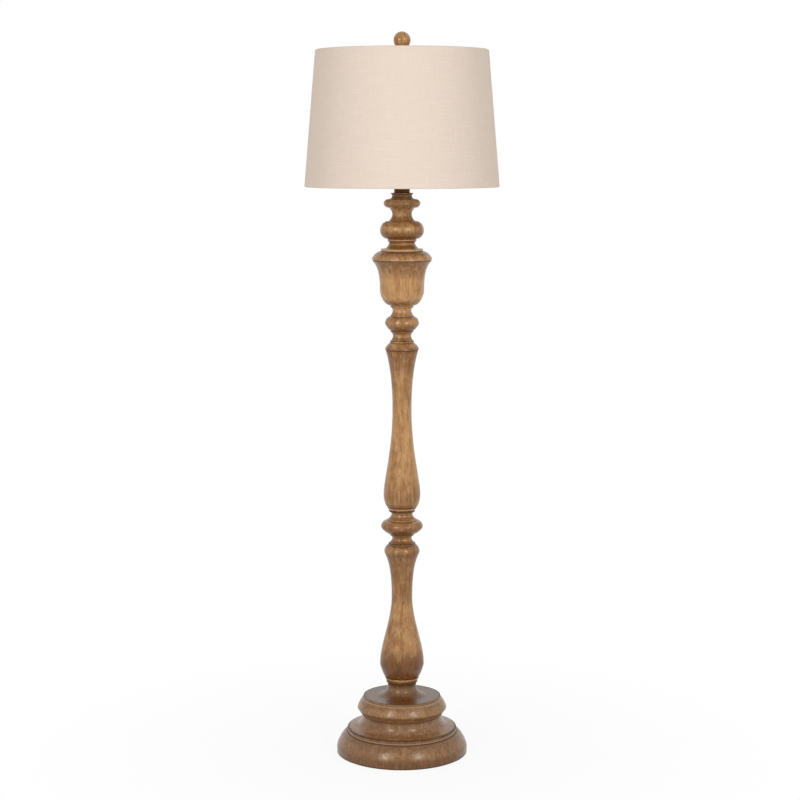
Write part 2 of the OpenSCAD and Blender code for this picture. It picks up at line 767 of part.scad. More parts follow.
function knop_outline() = let (
    low_cove_at = [knop_low_cove_r, knop_low_cove_z],
    low_fillet_at = [knop_low_fillet_r, knop_low_fillet_z + knop_fillet_h],
    bead_at = [knop_bead_r, knop_bead_z],
    high_fillet_at = [knop_high_fillet_r, knop_high_fillet_z + knop_fillet_h],
    high_cove_at = [knop_high_cove_r, knop_high_cove_z]) concat(
    [[knop_foot_r, 0]],
    rise([knop_foot_r, 0], low_cove_at, knop_cove_full),
    fall(low_cove_at, [knop_low_fillet_r, knop_low_fillet_z], knop_cove_full),
    [low_fillet_at],
    rise(low_fillet_at, bead_at, knop_low_full),
    fall(bead_at, [knop_high_fillet_r, knop_high_fillet_z], knop_high_full),
    [high_fillet_at],
    rise(high_fillet_at, high_cove_at, knop_cove_full),
    fall(high_cove_at, [knop_top_r, knop_h], knop_cove_full));

function upper_outline() = let (
    ring_at = [upper_ring_r, upper_ring_z],
    quirk_at = ring_at + [-quirk_in, quirk_h],
    belly_at = [upper_belly_r, upper_belly_z],
    waist_at = [upper_waist_r, upper_waist_z],
    shoulder_at = [upper_shoulder_r, upper_shoulder_z]) concat(
    [[upper_foot_r, 0], [upper_foot_r, upper_foot_h], ring_at, quirk_at],
    rise(quirk_at, belly_at, upper_foot_full),
    sweep(belly_at, waist_at, upper_belly_pull, upper_waist_pull),
    sweep(waist_at, shoulder_at + under_rim, upper_throat_pull, upper_edge_pull),
    [shoulder_at + rim_quirk, shoulder_at],
    fall(shoulder_at, [upper_cap_r, upper_h - upper_cap_h], upper_cap_full),
    [[upper_cap_r, upper_h]]);

function neck_outline() = let (
    low_cove_at = [neck_low_cove_r, neck_low_cove_z],
    low_fillet_at = [neck_low_fillet_r, neck_low_fillet_z + neck_fillet_h],
    bead_at = [neck_bead_r, neck_bead_z],
    high_fillet_at = [neck_high_fillet_r, neck_high_fillet_z + neck_fillet_h],
    high_cove_at = [neck_high_cove_r, neck_high_cove_z]) concat(
    [[neck_foot_r, 0]],
    rise([neck_foot_r, 0], low_cove_at, neck_cove_full),
    fall(low_cove_at, [neck_low_fillet_r, neck_low_fillet_z], neck_cove_full),
    [low_fillet_at],
    rise(low_fillet_at, bead_at, neck_low_full),
    fall(bead_at, [neck_high_fillet_r, neck_high_fillet_z], neck_high_full),
    [high_fillet_at],
    rise(high_fillet_at, high_cove_at, neck_cove_full),
    fall(high_cove_at, [neck_top_r, neck_h], neck_cove_full));

function urn_outline() = let (
    foot_at = [urn_foot_r, urn_foot_h],
    body_at = [urn_body_r, urn_body_z],
    rim_at = [urn_rim_r, urn_rim_z]) concat(
    [[urn_foot_r, 0], foot_at],
    rise(foot_at, body_at, urn_foot_full),
    sweep(body_at, rim_at + under_rim, urn_body_pull, urn_rim_pull),
    [rim_at + rim_quirk, rim_at],
    fall(rim_at, [urn_lid_r, urn_lid_z], urn_lid_full),
    [[urn_cap_r, urn_lid_z], [urn_cap_r, urn_h]]);

function top_outline() = let (
    low_cove_at = [top_low_cove_r, top_low_cove_z],
    fillet_at = [top_fillet_r, top_fillet_z + top_fillet_h],
    torus_at = [top_torus_r, top_torus_z],
    torus_top_at = [top_torus_top_r, top_torus_top_z],
    throat_at = [top_throat_r, top_throat_z],
    bead_foot_at = [top_bead_foot_r, top_bead_foot_z],
    bead_at = [top_bead_r, top_bead_z],
    bead_top_at = [top_bead_top_r, top_bead_top_z],
    collar_at = [top_collar_r, top_collar_z]) concat(
    [[top_foot_r, 0]],
    rise([top_foot_r, 0], low_cove_at, top_cove_full),
    fall(low_cove_at, [top_fillet_r, top_fillet_z], top_cove_full),
    [fillet_at],
    rise(fillet_at, torus_at, top_torus_low_full),
    fall(torus_at, torus_top_at, top_torus_high_full),
    rise(torus_top_at, throat_at, top_throat_full),
    fall(throat_at, bead_foot_at, top_throat_full),
    rise(bead_foot_at, bead_at, top_bead_full),
    fall(bead_at, bead_top_at, top_bead_full),
    rise(bead_top_at, collar_at, top_collar_full),
    fall(collar_at, [top_lip_r, top_h - top_lip_t], top_collar_full),
    [[top_lip_r, top_h]]);

// Turned section with a bore for the pipe, a tenon below and a recess for the next tenon above
module turned(outline, z, h, tenon = true, recess = true) {
    foot = tenon ? [[bore_r, -tenon_l], [tenon_r, -tenon_l], [tenon_r, 0]] : [[bore_r, 0]];
    head = recess ? [[recess_r, h], [recess_r, h - recess_l], [bore_r, h - recess_l]] : [[bore_r, h]];
    translate([0, 0, z]) rotate_extrude() polygon(concat(foot, outline, head));
}

// Tube, or disc with a hole, that stands on z
module tube(outer, inner, z, h) {
    translate([0, 0, z]) rotate_extrude() translate([inner, 0]) square([outer - inner, h]);
}

// Hexagonal nut with a round bore
module nut(z) {
    color(steel) difference() {
        translate([0, 0, z]) cylinder(d = nut_af / cos(30), h = nut_t, $fn = 6);
        translate([0, 0, z - past]) cylinder(r = thread_r, h = nut_t + 2 * past);
    }
}

// Base

module felt_pad() {
    color([0.22, 0.20, 0.18]) cylinder(r = pad_r, h = pad_t);
}

module at_screws() {
    for (i = [0:screw_n - 1])
        rotate([0, 0, (i + 0.5) * 360 / screw_n]) translate([screw_ring_r, 0, cover_z]) children();
}

// Countersunk screw with its head down, or the hole for it when it is grown by a gap
module screw_body(grow) {
    head_r = screw_head_d / 2 + grow;
    shank_r = screw_d / 2 + grow;
    rotate_extrude() polygon([[0, 0], [head_r, 0], [shank_r, head_r - shank_r],
        [shank_r, screw_l + grow], [0, screw_l + grow]]);
}

module base_cover() {
    color([0.45, 0.33, 0.22]) difference() {
        translate([0, 0, cover_z]) cylinder(r = cover_r, h = cover_t);
        at_screws() screw_body(screw_gap);
    }
}

module cover_screws() {
    color(steel) at_screws() screw_body(0);
}

module base_weight() {
    color([0.20, 0.20, 0.21]) difference() {
        tube(weight_r, weight_hole_r, weight_z, weight_t);
        translate([-weight_slot_w / 2, 0, weight_z + weight_slot_floor])
            cube([weight_slot_w, weight_r + past, weight_t]);
    }
}

// Barrel and flange of the bushing along +Y, or the hole for them when they are grown by a gap
module bushing_body(grow = 0, beyond = 0) {
    barrel_r = cord_hole_r + bushing_wall + grow;
    inner_y = weight_recess_r - beyond;
    translate([0, 0, cord_z]) rotate([-90, 0, 0]) {
        translate([0, 0, inner_y]) cylinder(r = barrel_r, h = bushing_y - inner_y);
        translate([0, 0, bushing_y - bushing_flange_t])
            cylinder(r = bushing_flange_r + grow, h = bushing_flange_t + beyond);
    }
}

module cord_bushing() {
    color(phenolic) difference() {
        bushing_body();
        translate([0, weight_r, cord_z]) rotate([-90, 0, 0])
            cylinder(r = cord_hole_r, h = plinth_r - weight_r);
    }
}

module base_plinth() {
    color(base_wood) difference() {
        translate([0, 0, plinth_z]) rotate_extrude() polygon(concat(
            [[cover_recess_r, 0]], plinth_outline(),
            [[bore_r, plinth_h], [bore_r, web_z - plinth_z], [weight_recess_r, web_z - plinth_z],
             [weight_recess_r, cover_t], [cover_recess_r, cover_t]]));
        at_screws() screw_body(screw_gap);
        bushing_body(bushing_gap, bushing_flange_r);
    }
}

module base_cove() {
    color(base_wood) turned(cove_outline(), cove_z, cove_h, false, false);
}

module base_riser() {
    color(base_wood) turned(riser_outline(), riser_z, riser_h, false);
}

// Column

module lower_baluster() {
    color(wood) turned(lower_outline(), lower_z, lower_h);
}

module middle_knop() {
    color(wood) difference() {
        turned(knop_outline(), knop_z, knop_h);
        translate([0, 0, coupling_z]) cylinder(r = coupling_bore_r, h = knop_h);
    }
}

module upper_baluster() {
    color(wood) turned(upper_outline(), upper_z, upper_h);
}

module neck_knop() {
    color(wood) turned(neck_outline(), neck_z, neck_h);
}

module urn() {
    color(wood) turned(urn_outline(), urn_z, urn_h);
}

module top_turning() {
    color(wood) turned(top_outline(), top_z, top_h, true, false);
}

// Pipe and its fastenings

module lower_pipe() {
    color(steel) tube(pipe_r, pipe_bore_d / 2, pipe_foot_z, pipe_joint_z - pipe_foot_z);
}

module upper_pipe() {
    color(steel) tube(pipe_r, pipe_bore_d / 2, pipe_joint_z, pipe_top_z - pipe_joint_z);
}

module pipe_coupling() {
    color(steel) tube(coupling_d / 2, thread_r, coupling_z, coupling_l);
}

module bottom_washer() {
    color(steel) tube(washer_d / 2, thread_r, washer_z, washer_t);
}

module bottom_nut() {
    nut(washer_z - nut_t);
}

module neck_nut() {
    nut(saddle_top_z);
}

module neck_tube() {
    inner_r = tube_r - tube_wall;
    color(bronze) translate([0, 0, tube_z]) rotate_extrude() polygon([
        [inner_r, 0], [tube_r, 0], [tube_r, tube_h], [thread_r, tube_h],
        [thread_r, tube_h - tube_wall], [inner_r, tube_h - tube_wall]]);
}

// Harp

module harp_saddle() {
    color(brass) difference() {
        union() {
            translate([0, 0, saddle_z]) cylinder(r = saddle_w, h = saddle_t);
            translate([-saddle_end_x, -saddle_w / 2, saddle_z])
                cube([2 * saddle_end_x, saddle_w, saddle_t]);
            for (side = [0, 1]) mirror([side, 0, 0])
                translate([saddle_reach, -saddle_tab_w / 2, saddle_z])
                    cube([saddle_t, saddle_tab_w, saddle_t + saddle_tab_h]);
        }
        translate([0, 0, saddle_z - past]) cylinder(r = thread_r, h = saddle_t + 2 * past);
    }
}

// Arc of wire in the XZ plane about [x, z], from angle a to angle b
module wire_arc(x, z, r, a, b) {
    translate([x, 0, z]) rotate([90, 0, 0]) rotate([0, 0, a])
        rotate_extrude(angle = b - a) translate([r, 0]) circle(d = harp_wire_d);
}

// Weld bead at the angle a of an arc of wire
module wire_bead(x, z, r, a) {
    translate([x + r * cos(a), 0, z + r * sin(a)]) sphere(d = harp_wire_d + harp_bead);
}

module harp() {
    color(brass) {
        for (side = [0, 1]) mirror([side, 0, 0]) {
            translate([leg_x, 0, saddle_top_z]) cylinder(d = harp_wire_d, h = bend_z - saddle_top_z);
            wire_bead(leg_x + harp_bend_r, bend_z, harp_bend_r, 180);
            wire_arc(leg_x + harp_bend_r, bend_z, harp_bend_r, 180 - harp_lean, 180);
            wire_bead(side_x, side_z, harp_side_r, -harp_lean);
            wire_arc(side_x, side_z, harp_side_r, -harp_lean, harp_top_lean);
            wire_bead(side_x, side_z, harp_side_r, harp_top_lean);
            wire_arc(crown_x, crown_z, harp_crown_r, harp_top_lean, 90);
        }
        translate([0, 0, harp_seat_z - harp_seat_t]) cylinder(r = harp_seat_r, h = harp_seat_t);
        translate([0, 0, harp_seat_z - past]) cylinder(d = stud_d, h = stud_l + past);
    }
}

module harp_sleeve(side) {
    color(brass) translate([side * sleeve_x, 0, 0])
        tube(sleeve_r + sleeve_wall, sleeve_r, saddle_top_z, sleeve_l);
}

module harp_sleeve_left() {
    harp_sleeve(-1);
}

module harp_sleeve_right() {
    harp_sleeve(1);
}

// Socket and switch

module socket_cap() {
    hub_r = thread_r + cap_hub_wall;
    color(brass) translate([0, 0, cap_z]) rotate_extrude() polygon(concat(
        [[thread_r, 0], [cap_foot_r, 0]],
        rise([cap_foot_r, 0], [cap_r, cap_shoulder_h], cap_full),
        [[cap_r, cap_h], [cap_r - brass_t, cap_h], [cap_r - brass_t, cap_shoulder_h],
         [cap_foot_r, brass_t], [hub_r, brass_t], [hub_r, cap_hub_h], [thread_r, cap_hub_h]]));
}

// Round hole towards the front for the switch stem
module stem_hole(depth) {
    translate([0, -shell_r - past, stem_z]) rotate([-90, 0, 0])
        cylinder(r = stem_r + stem_gap, h = depth + past);
}

module socket_shell() {
    color(brass) difference() {
        tube(shell_r, shell_r - brass_t, shell_z, shell_h);
        stem_hole(shell_r);
    }
}

module socket_liner() {
    color([0.35, 0.31, 0.26]) difference() {
        tube(liner_r, liner_r - paper_t, shell_z, shell_h - liner_drop);
        stem_hole(shell_r);
    }
}

module socket_body() {
    color(phenolic) difference() {
        translate([0, 0, body_z]) cylinder(r = body_r, h = switch_body_h);
        stem_hole(shell_r - body_r + stem_in + stem_gap);
    }
}

module screw_shell() {
    inner_r = screw_shell_r - screw_shell_t;
    color(brass) translate([0, 0, contact_z]) rotate_extrude() polygon([
        [screw_shell_hole_r, 0], [screw_shell_r, 0], [screw_shell_r, screw_shell_h],
        [inner_r, screw_shell_h], [inner_r, screw_shell_t], [screw_shell_hole_r, screw_shell_t]]);
}

module centre_contact() {
    color(brass) translate([0, 0, contact_z]) cylinder(r = contact_r, h = contact_h);
}

module switch_stem() {
    length = knob_y + knob_l / 2 - body_r + stem_in;
    color(brass) translate([0, stem_in - body_r, stem_z]) rotate([90, 0, 0])
        cylinder(r = stem_r, h = length);
}

module switch_knob() {
    color(phenolic) translate([0, -knob_y, stem_z]) rotate([90, 0, 0]) difference() {
        rotate_extrude() polygon([[0, 0], [knob_r - flute_r, 0], [knob_r, flute_r],
            [knob_r, knob_l - flute_r], [knob_r - flute_r, knob_l], [0, knob_l]]);
        translate([0, 0, -past]) cylinder(r = stem_r + thread_gap, h = knob_l / 2 + past);
        for (i = [0:knob_flutes - 1]) rotate([0, 0, i * 360 / knob_flutes])
            translate([knob_r, 0, -past]) cylinder(r = flute_r, h = knob_l + 2 * past, $fn = 24);
    }
}

// Bulb

module bulb_contact() {
    color(steel) translate([0, 0, bulb_z]) cylinder(r = bulb_contact_r, h = bulb_contact_h);
}

module bulb_insulator() {
    color(phenolic) translate([0, 0, insulator_z])
        cylinder(r1 = insulator_low_r, r2 = insulator_high_r, h = insulator_h);
}

module bulb_cap() {
    color(steel) translate([0, 0, bulb_cap_z]) rotate_extrude() polygon([
        [0, 0], [insulator_high_r, 0], [bulb_cap_r, bulb_cap_chamfer], [bulb_cap_r, bulb_cap_h],
        [bulb_cap_inner_r, bulb_cap_h], [bulb_cap_inner_r, bulb_cap_chamfer],
        [insulator_high_r - bulb_wall, bulb_wall], [0, bulb_wall]]);
}

// Outline of the glass from its neck to its top, with the wall taken off for the inside
function glass_side(wall) = let (
    neck_z = bulb_rim_z + bulb_neck_h,
    neck_r = bulb_neck_r - wall,
    globe_r = bulb_r - wall,
    turn = 90 / sweep_steps) concat(
    [[neck_r, bulb_rim_z - bulb_neck_in], [neck_r, neck_z]],
    sweep([neck_r, neck_z], [globe_r, globe_z], bulb_low_pull, bulb_high_pull),
    [for (i = [1:sweep_steps]) [globe_r * cos(i * turn), globe_z + globe_r * sin(i * turn)]]);

module bulb_glass() {
    inside = glass_side(bulb_wall);
    color([0.95, 0.94, 0.90]) rotate_extrude()
        polygon(concat(glass_side(0), [for (i = [len(inside) - 1:-1:0]) inside[i]]));
}

// Shade

function wall_r(z) = shade_top_r + shade_slope * (top_ring_z - z);

// Arc of the given radius about a centre, from angle a to angle b
function arc(centre, r, a, b) = [for (i = [0:sweep_steps])
    let (t = a + (b - a) * i / sweep_steps) centre + r * [cos(t), sin(t)]];

// End of the linen that is turned in on to the liner, as its inner and its outer corner
function turned_in(z) = let (r = wall_r(z) - linen_t - liner_t - 2 * glue_gap) [[r - linen_t, z], [r, z]];

module shade_linen() {
    top_at = [top_ring_r, top_ring_z];
    bottom_at = [bottom_ring_r, bottom_ring_z];
    inner_roll_r = roll_r - linen_t;
    bottom_end = turned_in(bottom_ring_z + turn_in);
    color([0.93, 0.87, 0.81]) difference() {
        rotate_extrude() polygon(concat(
            arc(top_at, roll_r, 0, 180),
            turned_in(top_ring_z - turn_in),
            arc(top_at, inner_roll_r, 180, 0),
            arc(bottom_at, inner_roll_r, 0, -180),
            [bottom_end[1], bottom_end[0]],
            arc(bottom_at, roll_r, -180, 0)));
        at_arms() translate([top_ring_r - slit_w, -slit_w / 2, top_ring_z - arm_d])
            cube([slit_w, slit_w, arm_d + arm_d / 2 + 2 * roll_gap]);
    }
}

module shade_liner() {
    outer = linen_t + glue_gap;
    inner = outer + liner_t;
    top = top_ring_z - ring_d / 2 - roll_gap;
    bottom = bottom_ring_z + ring_d / 2 + roll_gap;
    color([0.90, 0.89, 0.85]) rotate_extrude() polygon([
        [wall_r(bottom) - inner, bottom], [wall_r(bottom) - outer, bottom],
        [wall_r(top) - outer, top], [wall_r(top) - inner, top]]);
}

module at_arms() {
    for (i = [0:arm_n - 1]) rotate([0, 0, 90 + i * 360 / arm_n]) children();
}

module ring_wire(r, z) {
    translate([0, 0, z]) rotate_extrude() translate([r, 0]) circle(d = ring_d);
}

module shade_spider() {
    start_z = spider_z + spider_t / 2;
    run = top_ring_r - arm_start_r;
    climb = top_ring_z - start_z;
    color(brass) {
        ring_wire(top_ring_r, top_ring_z);
        tube(spider_r, spider_hole_r, spider_z, spider_t);
        at_arms() translate([arm_start_r, 0, start_z]) rotate([0, atan2(run, climb), 0])
            cylinder(d = arm_d, h = norm([run, climb]));
    }
}

module shade_bottom_ring() {
    color(steel) ring_wire(bottom_ring_r, bottom_ring_z);
}

// Finial

module finial_insert() {
    stem_h = insert_top_z - insert_z;
    bore_h = stud_l + stud_gap;
    color(brass) translate([0, 0, insert_z]) rotate_extrude() polygon([
        [stud_bore_r, 0], [insert_flange_r, 0], [insert_flange_r, insert_flange_t],
        [insert_r, insert_flange_t], [insert_r, stem_h], [0, stem_h], [0, bore_h],
        [stud_bore_r, bore_h]]);
}

module finial_ball() {
    color(wood) difference() {
        translate([0, 0, ball_z]) sphere(r = ball_r);
        translate([0, 0, insert_top_z - 2 * ball_r]) cylinder(r = insert_r + stud_gap, h = 2 * ball_r);
    }
}

felt_pad();
base_cover();
cover_screws();
base_weight();
cord_bushing();
base_plinth();
base_cove();
base_riser();
lower_baluster();
middle_knop();
upper_baluster();
neck_knop();
urn();
top_turning();
lower_pipe();
upper_pipe();
pipe_coupling();
bottom_washer();
bottom_nut();
neck_tube();
neck_nut();
harp_saddle();
harp();
harp_sleeve_left();
harp_sleeve_right();
socket_cap();
socket_shell();
socket_liner();
socket_body();
screw_shell();
centre_contact();
switch_stem();
switch_knob();
bulb_contact();
bulb_insulator();
bulb_cap();
bulb_glass();
shade_linen();
shade_liner();
shade_spider();
shade_bottom_ring();
finial_insert();
finial_ball();
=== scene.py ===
import bpy
import math
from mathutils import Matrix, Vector


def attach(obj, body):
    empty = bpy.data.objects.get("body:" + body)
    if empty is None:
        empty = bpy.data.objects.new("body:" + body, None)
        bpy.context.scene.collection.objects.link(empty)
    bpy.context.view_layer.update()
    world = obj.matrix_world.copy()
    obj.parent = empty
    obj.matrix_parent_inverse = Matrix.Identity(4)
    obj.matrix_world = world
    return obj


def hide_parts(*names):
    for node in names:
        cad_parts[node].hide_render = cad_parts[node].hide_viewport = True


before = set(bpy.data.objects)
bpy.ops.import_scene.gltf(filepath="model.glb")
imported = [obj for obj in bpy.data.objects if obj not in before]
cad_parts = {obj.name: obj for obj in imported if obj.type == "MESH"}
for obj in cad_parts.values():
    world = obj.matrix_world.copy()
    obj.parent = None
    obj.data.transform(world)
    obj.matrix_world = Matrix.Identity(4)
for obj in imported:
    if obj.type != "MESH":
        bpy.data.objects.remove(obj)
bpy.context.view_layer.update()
print("frame loaded, nodes:", len(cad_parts))

mm = 0.001
fullTurn = 2 * math.pi


# Small helpers

def deselect():
    if bpy.context.object and bpy.context.object.mode != "OBJECT":
        bpy.ops.object.mode_set(mode="OBJECT")
    bpy.ops.object.select_all(action="DESELECT")


def pick(*pieces):
    deselect()
    for piece in pieces:
        piece.select_set(True)
    bpy.context.view_layer.objects.active = pieces[0]


def editAll(piece):
    pick(piece)
    bpy.ops.object.mode_set(mode="EDIT")
    bpy.ops.mesh.select_all(action="SELECT")


def editOnly(piece, kind, chosen):
    # edit mode with only the vertices, edges or faces selected that chosen(element) accepts
    editAll(piece)
    bpy.ops.mesh.select_mode(type=kind)
    bpy.ops.mesh.select_all(action="DESELECT")
    bpy.ops.object.mode_set(mode="OBJECT")
    mesh = piece.data
    for element in {"VERT": mesh.vertices, "EDGE": mesh.edges, "FACE": mesh.polygons}[kind]:
        element.select = chosen(element)
    bpy.ops.object.mode_set(mode="EDIT")


def addModifier(piece, kind, **settings):
    modifier = piece.modifiers.new(kind.title(), kind)
    for key, value in settings.items():
        setattr(modifier, key, value)
    pick(piece)
    bpy.ops.object.modifier_apply(modifier=modifier.name)


def combine(piece, tool, operation="DIFFERENCE"):
    addModifier(piece, "BOOLEAN", object=tool, operation=operation, solver="EXACT")
    bpy.data.objects.remove(tool)


def joined(*pieces):
    pick(*pieces)
    if len(pieces) > 1:
        bpy.ops.object.join()
    return bpy.context.object


def shadeSmooth(piece, angle=35):
    pick(piece)
    bpy.ops.object.shade_smooth_by_angle(angle=math.radians(angle))


def finish(piece, name, body, look, nodes, smooth=35):
    pick(piece)
    bpy.ops.object.transform_apply(location=True, rotation=True, scale=True)
    shadeSmooth(piece, smooth)
    piece.name = piece.data.name = name
    piece.data.materials.clear()
    piece.data.materials.append(look)
    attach(piece, body)
    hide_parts(*nodes)
    return piece


# Materials

def tone(red, green, blue):
    # a colour as it is seen on screen, 0 to 255, made linear
    return tuple(((c / 255 + 0.055) / 1.055) ** 2.4 if c > 10 else c / 255 / 12.92
                 for c in (red, green, blue)) + (1.0,)


class Wire:
    # an output socket; sums on it become Math nodes
    def __init__(self, look, socket):
        self.look, self.socket = look, socket

    def maths(self, operation, first, second=0.0):
        return self.look.node("Math", {"operation": operation}, {0: first, 1: second})

    def __add__(self, other):
        return self.maths("ADD", self, other)

    def __sub__(self, other):
        return self.maths("SUBTRACT", self, other)

    def __rsub__(self, other):
        return self.maths("SUBTRACT", other, self)

    def __mul__(self, other):
        return self.maths("MULTIPLY", self, other)

    def __pow__(self, other):
        return self.maths("POWER", self, other)

    __radd__ = __add__
    __rmul__ = __mul__

    def sine(self):
        return self.maths("SINE", self)

    def atLeast(self, other):
        return self.maths("MAXIMUM", self, other)

    def between(self, low, high):
        # 0 below low, 1 above high and soft in between
        return self.look.node("MapRange", {"interpolation_type": "SMOOTHSTEP"},
                              {"Value": self, "From Min": low, "From Max": high})


class Tree:
    def __init__(self, owner):
        owner.use_nodes = True
        self.owner, self.tree = owner, owner.node_tree

    def node(self, kind, settings={}, sockets={}, out=0):
        made = self.tree.nodes.new("ShaderNode" + kind)
        for key, value in settings.items():
            setattr(made, key, value)
        for key, value in sockets.items():
            if isinstance(value, Wire):
                self.tree.links.new(value.socket, made.inputs[key])
            else:
                made.inputs[key].default_value = value
        return Wire(self, made.outputs[out]) if made.outputs else None

    def axis(self, vector, which):
        return self.node("SeparateXYZ", {}, {"Vector": vector}, which)


class Look(Tree):
    def __init__(self, name, **fixed):
        super().__init__(bpy.data.materials.new(name))
        self.shader = next(n for n in self.tree.nodes if n.type == "BSDF_PRINCIPLED")
        for key, value in fixed.items():
            self.shader.inputs[key.replace("_", " ")].default_value = value

    def place(self, scale=(1, 1, 1), shift=(0, 0, 0), by="Object"):
        coords = self.node("TexCoord", out=by)
        return self.node("Mapping", {}, {"Vector": coords, "Location": shift, "Scale": scale})

    def noise(self, vector, scale, detail=4.0, roughness=0.55, distortion=0.0):
        return self.node("TexNoise", {}, {"Vector": vector, "Scale": scale, "Detail": detail,
                                          "Roughness": roughness, "Distortion": distortion})

    def mix(self, mask, first, second):
        return self.node("Mix", {"data_type": "RGBA"}, {0: mask, 6: first, 7: second}, 2)

    def attribute(self, name):
        return self.node("Attribute", {"attribute_name": name}, {}, "Fac")

    def bump(self, height, strength, distance):
        return self.node("Bump", {}, {"Height": height, "Strength": strength,
                                      "Distance": distance})

    def link(self, **wires):
        for key, wire in wires.items():
            self.tree.links.new(wire.socket, self.shader.inputs[key.replace("_", " ")])
        return self.owner


# layers painted on the outlines of the turned sections: toning together with painted shade, rubbed
# finish together with painted highlights, and dark seams together with painted shade in creases
wearShadeAndHighlightNames = ("tonerAndShade", "wornAndHighlight", "groove")  # attributes painted on the outlines of the turned sections

# The pale tone serves both rubbed edges and painted highlights on fillets and rims; the near-black tone
# serves both dark seams and painted shade in quirks and creases.
columnTones = {
    "light": tone(207, 157, 102),
    "dark": tone(100, 56, 12),
    "amber": tone(168, 106, 50),
    "fleck": tone(82, 45, 14),
    "wornAndHighlight": tone(216, 178, 134),
    "groove": tone(52, 29, 11),
}
baseTones = dict(columnTones, light=tone(182, 138, 97), dark=tone(92, 56, 22),
                 amber=tone(150, 97, 52), fleck=tone(66, 42, 23), wornAndHighlight=tone(196, 158, 118))


def woodLook(name, tones, shift, gloss, stretch, cloud):
    # the smaller stretch is, the longer the grain; cloud is how uneven the stain is
    look = Look(name, Specular_IOR_Level=gloss, Specular_Tint=(1.0, 0.94, 0.84, 1.0))
    strands = look.noise(look.place(scale=(1, 1, stretch), shift=shift), 230, 4, 0.65, 0.3)
    flecks = look.noise(look.place(scale=(1, 1, stretch * 2.5), shift=shift), 560, 3, 0.6, 0.5)
    pores = look.noise(look.place(scale=(1, 1, stretch * 2), shift=shift), 1400, 3, 0.6)
    figure = look.noise(look.place(scale=(1, 1, stretch * 4), shift=shift), 58, 4, 0.6, 0.9)
    wash = look.noise(look.place(shift=shift), 60, 4, 0.6, 0.3)
    tonerAndShade, wornAndHighlight, groove = (look.attribute(name) for name in wearShadeAndHighlightNames)
    # the toner layer darkens the wood both by real toning and by painted shade under beads, in quirks
    # and on shaded ledges
    stainAndShade = tonerAndShade + (figure - 0.5) * cloud + (strands - 0.5) * 1.4 + (wash - 0.5) * 0.8 * cloud
    wood = look.mix(stainAndShade.between(-0.3, 1.2), tones["light"], tones["dark"])
    tinge = (figure + (wash - 0.5) * 0.6 + tonerAndShade * 0.08).between(0.5, 0.68)
    wood = look.mix(tinge * 0.35, wood, tones["amber"])
    marks = (flecks + (figure - 0.5) * 0.3 + tonerAndShade * 0.03).between(0.55, 0.68)
    wood = look.mix(marks * 0.5 + (pores - 0.5) * 0.6, wood, tones["fleck"])
    # pale bands: rubbed finish on fillets and edges together with painted highlights on fillets and rims
    bareAndLit = (wornAndHighlight * (0.5 + wash * 0.7 + (strands - 0.5))).between(0.15, 0.85)
    wood = look.mix(bareAndLit * 0.6, wood, tones["wornAndHighlight"])
    # near-black: dark seams between sections together with painted shade in quirks and concave creases
    dark = (groove + (wash - 0.5) * 0.5 + (pores - 0.5) * 0.3).between(0.2, 0.65)
    wood = look.mix(dark * 0.88, wood, tones["groove"])
    rough = 0.24 + stainAndShade * 0.03 + (flecks - 0.5) * 0.14 + (pores - 0.5) * 0.1 + dark * 0.3
    height = pores * 0.3 + strands * 0.5 - marks * 0.4
    return look.link(Base_Color=wood, Roughness=rough, Normal=look.bump(height, 0.25, 0.0005))


def linenLook():
    look = Look("naturalLinen", Specular_IOR_Level=0.1, Sheen_Weight=0.2,
                Sheen_Roughness=0.5, Sheen_Tint=(1.0, 0.84, 0.7, 1.0))
    flat = look.place(by="UV")
    across, up = look.axis(flat, "X"), look.axis(flat, "Y")
    drift = look.noise(look.place(scale=(60, 60, 1), by="UV"), 1, 3)
    weft = look.noise(look.place(scale=(26, 1150, 1), by="UV"), 1, 3, 0.6)
    warp = look.noise(look.place(scale=(1150, 26, 1), by="UV"), 1, 3, 0.6)
    slub = look.noise(look.place(scale=(16, 420, 1), by="UV"), 1, 2, 0.5)
    rope = look.noise(look.place(scale=(420, 16, 1), by="UV"), 1, 2, 0.5)
    pitch = fullTurn / 0.0011
    over = (across * pitch + drift * 9.0).sine()
    under = (up * pitch + drift * 9.0).sine()
    weave = over * under * 0.5 + 0.5
    threads = weft * 0.5 + warp * 0.5
    thick = slub.between(0.52, 0.72) + rope.between(0.54, 0.74) * 0.7
    cloth = look.mix(threads.between(0.3, 0.7), tone(233, 213, 197), tone(243, 228, 213))
    cloth = look.mix(thick * 0.4, cloth, tone(246, 234, 220))
    cloth = look.mix((1 - weave) * 0.16, cloth, tone(205, 184, 164))
    rough = 0.86 + (threads - 0.5) * 0.2
    height = weave * 0.4 + threads * 0.6 + thick * 0.5
    return look.link(Base_Color=cloth, Roughness=rough, Normal=look.bump(height, 0.3, 0.0004))


def metalLook(name, bright, dull, rough, patch=60, wear=0.6, **fixed):
    look = Look(name, Metallic=1.0, **fixed)
    spots = look.noise(look.place(), patch, 5, 0.62, 0.3)
    fine = look.noise(look.place(), 900, 3, 0.6)
    colour = look.mix(spots.between(0.4, 0.7) * wear, bright, dull)
    return look.link(Base_Color=colour, Roughness=rough + (spots - 0.5) * 0.3 + (fine - 0.5) * 0.15,
                     Normal=look.bump(fine * 0.5 + spots * 0.5, 0.12, 0.0003))


def plainLook(name, first, second, rough, patch=80, grain=1200, strength=0.1, **fixed):
    look = Look(name, **fixed)
    spots = look.noise(look.place(), patch, 4)
    fine = look.noise(look.place(), grain, 3, 0.6)
    colour = look.mix(spots.between(0.3, 0.7) * 0.7 + (fine - 0.5) * 0.4, first, second)
    return look.link(Base_Color=colour, Roughness=rough + (fine - 0.5) * 0.15 + (spots - 0.5) * 0.1,
                     Normal=look.bump(fine, strength, 0.0003))


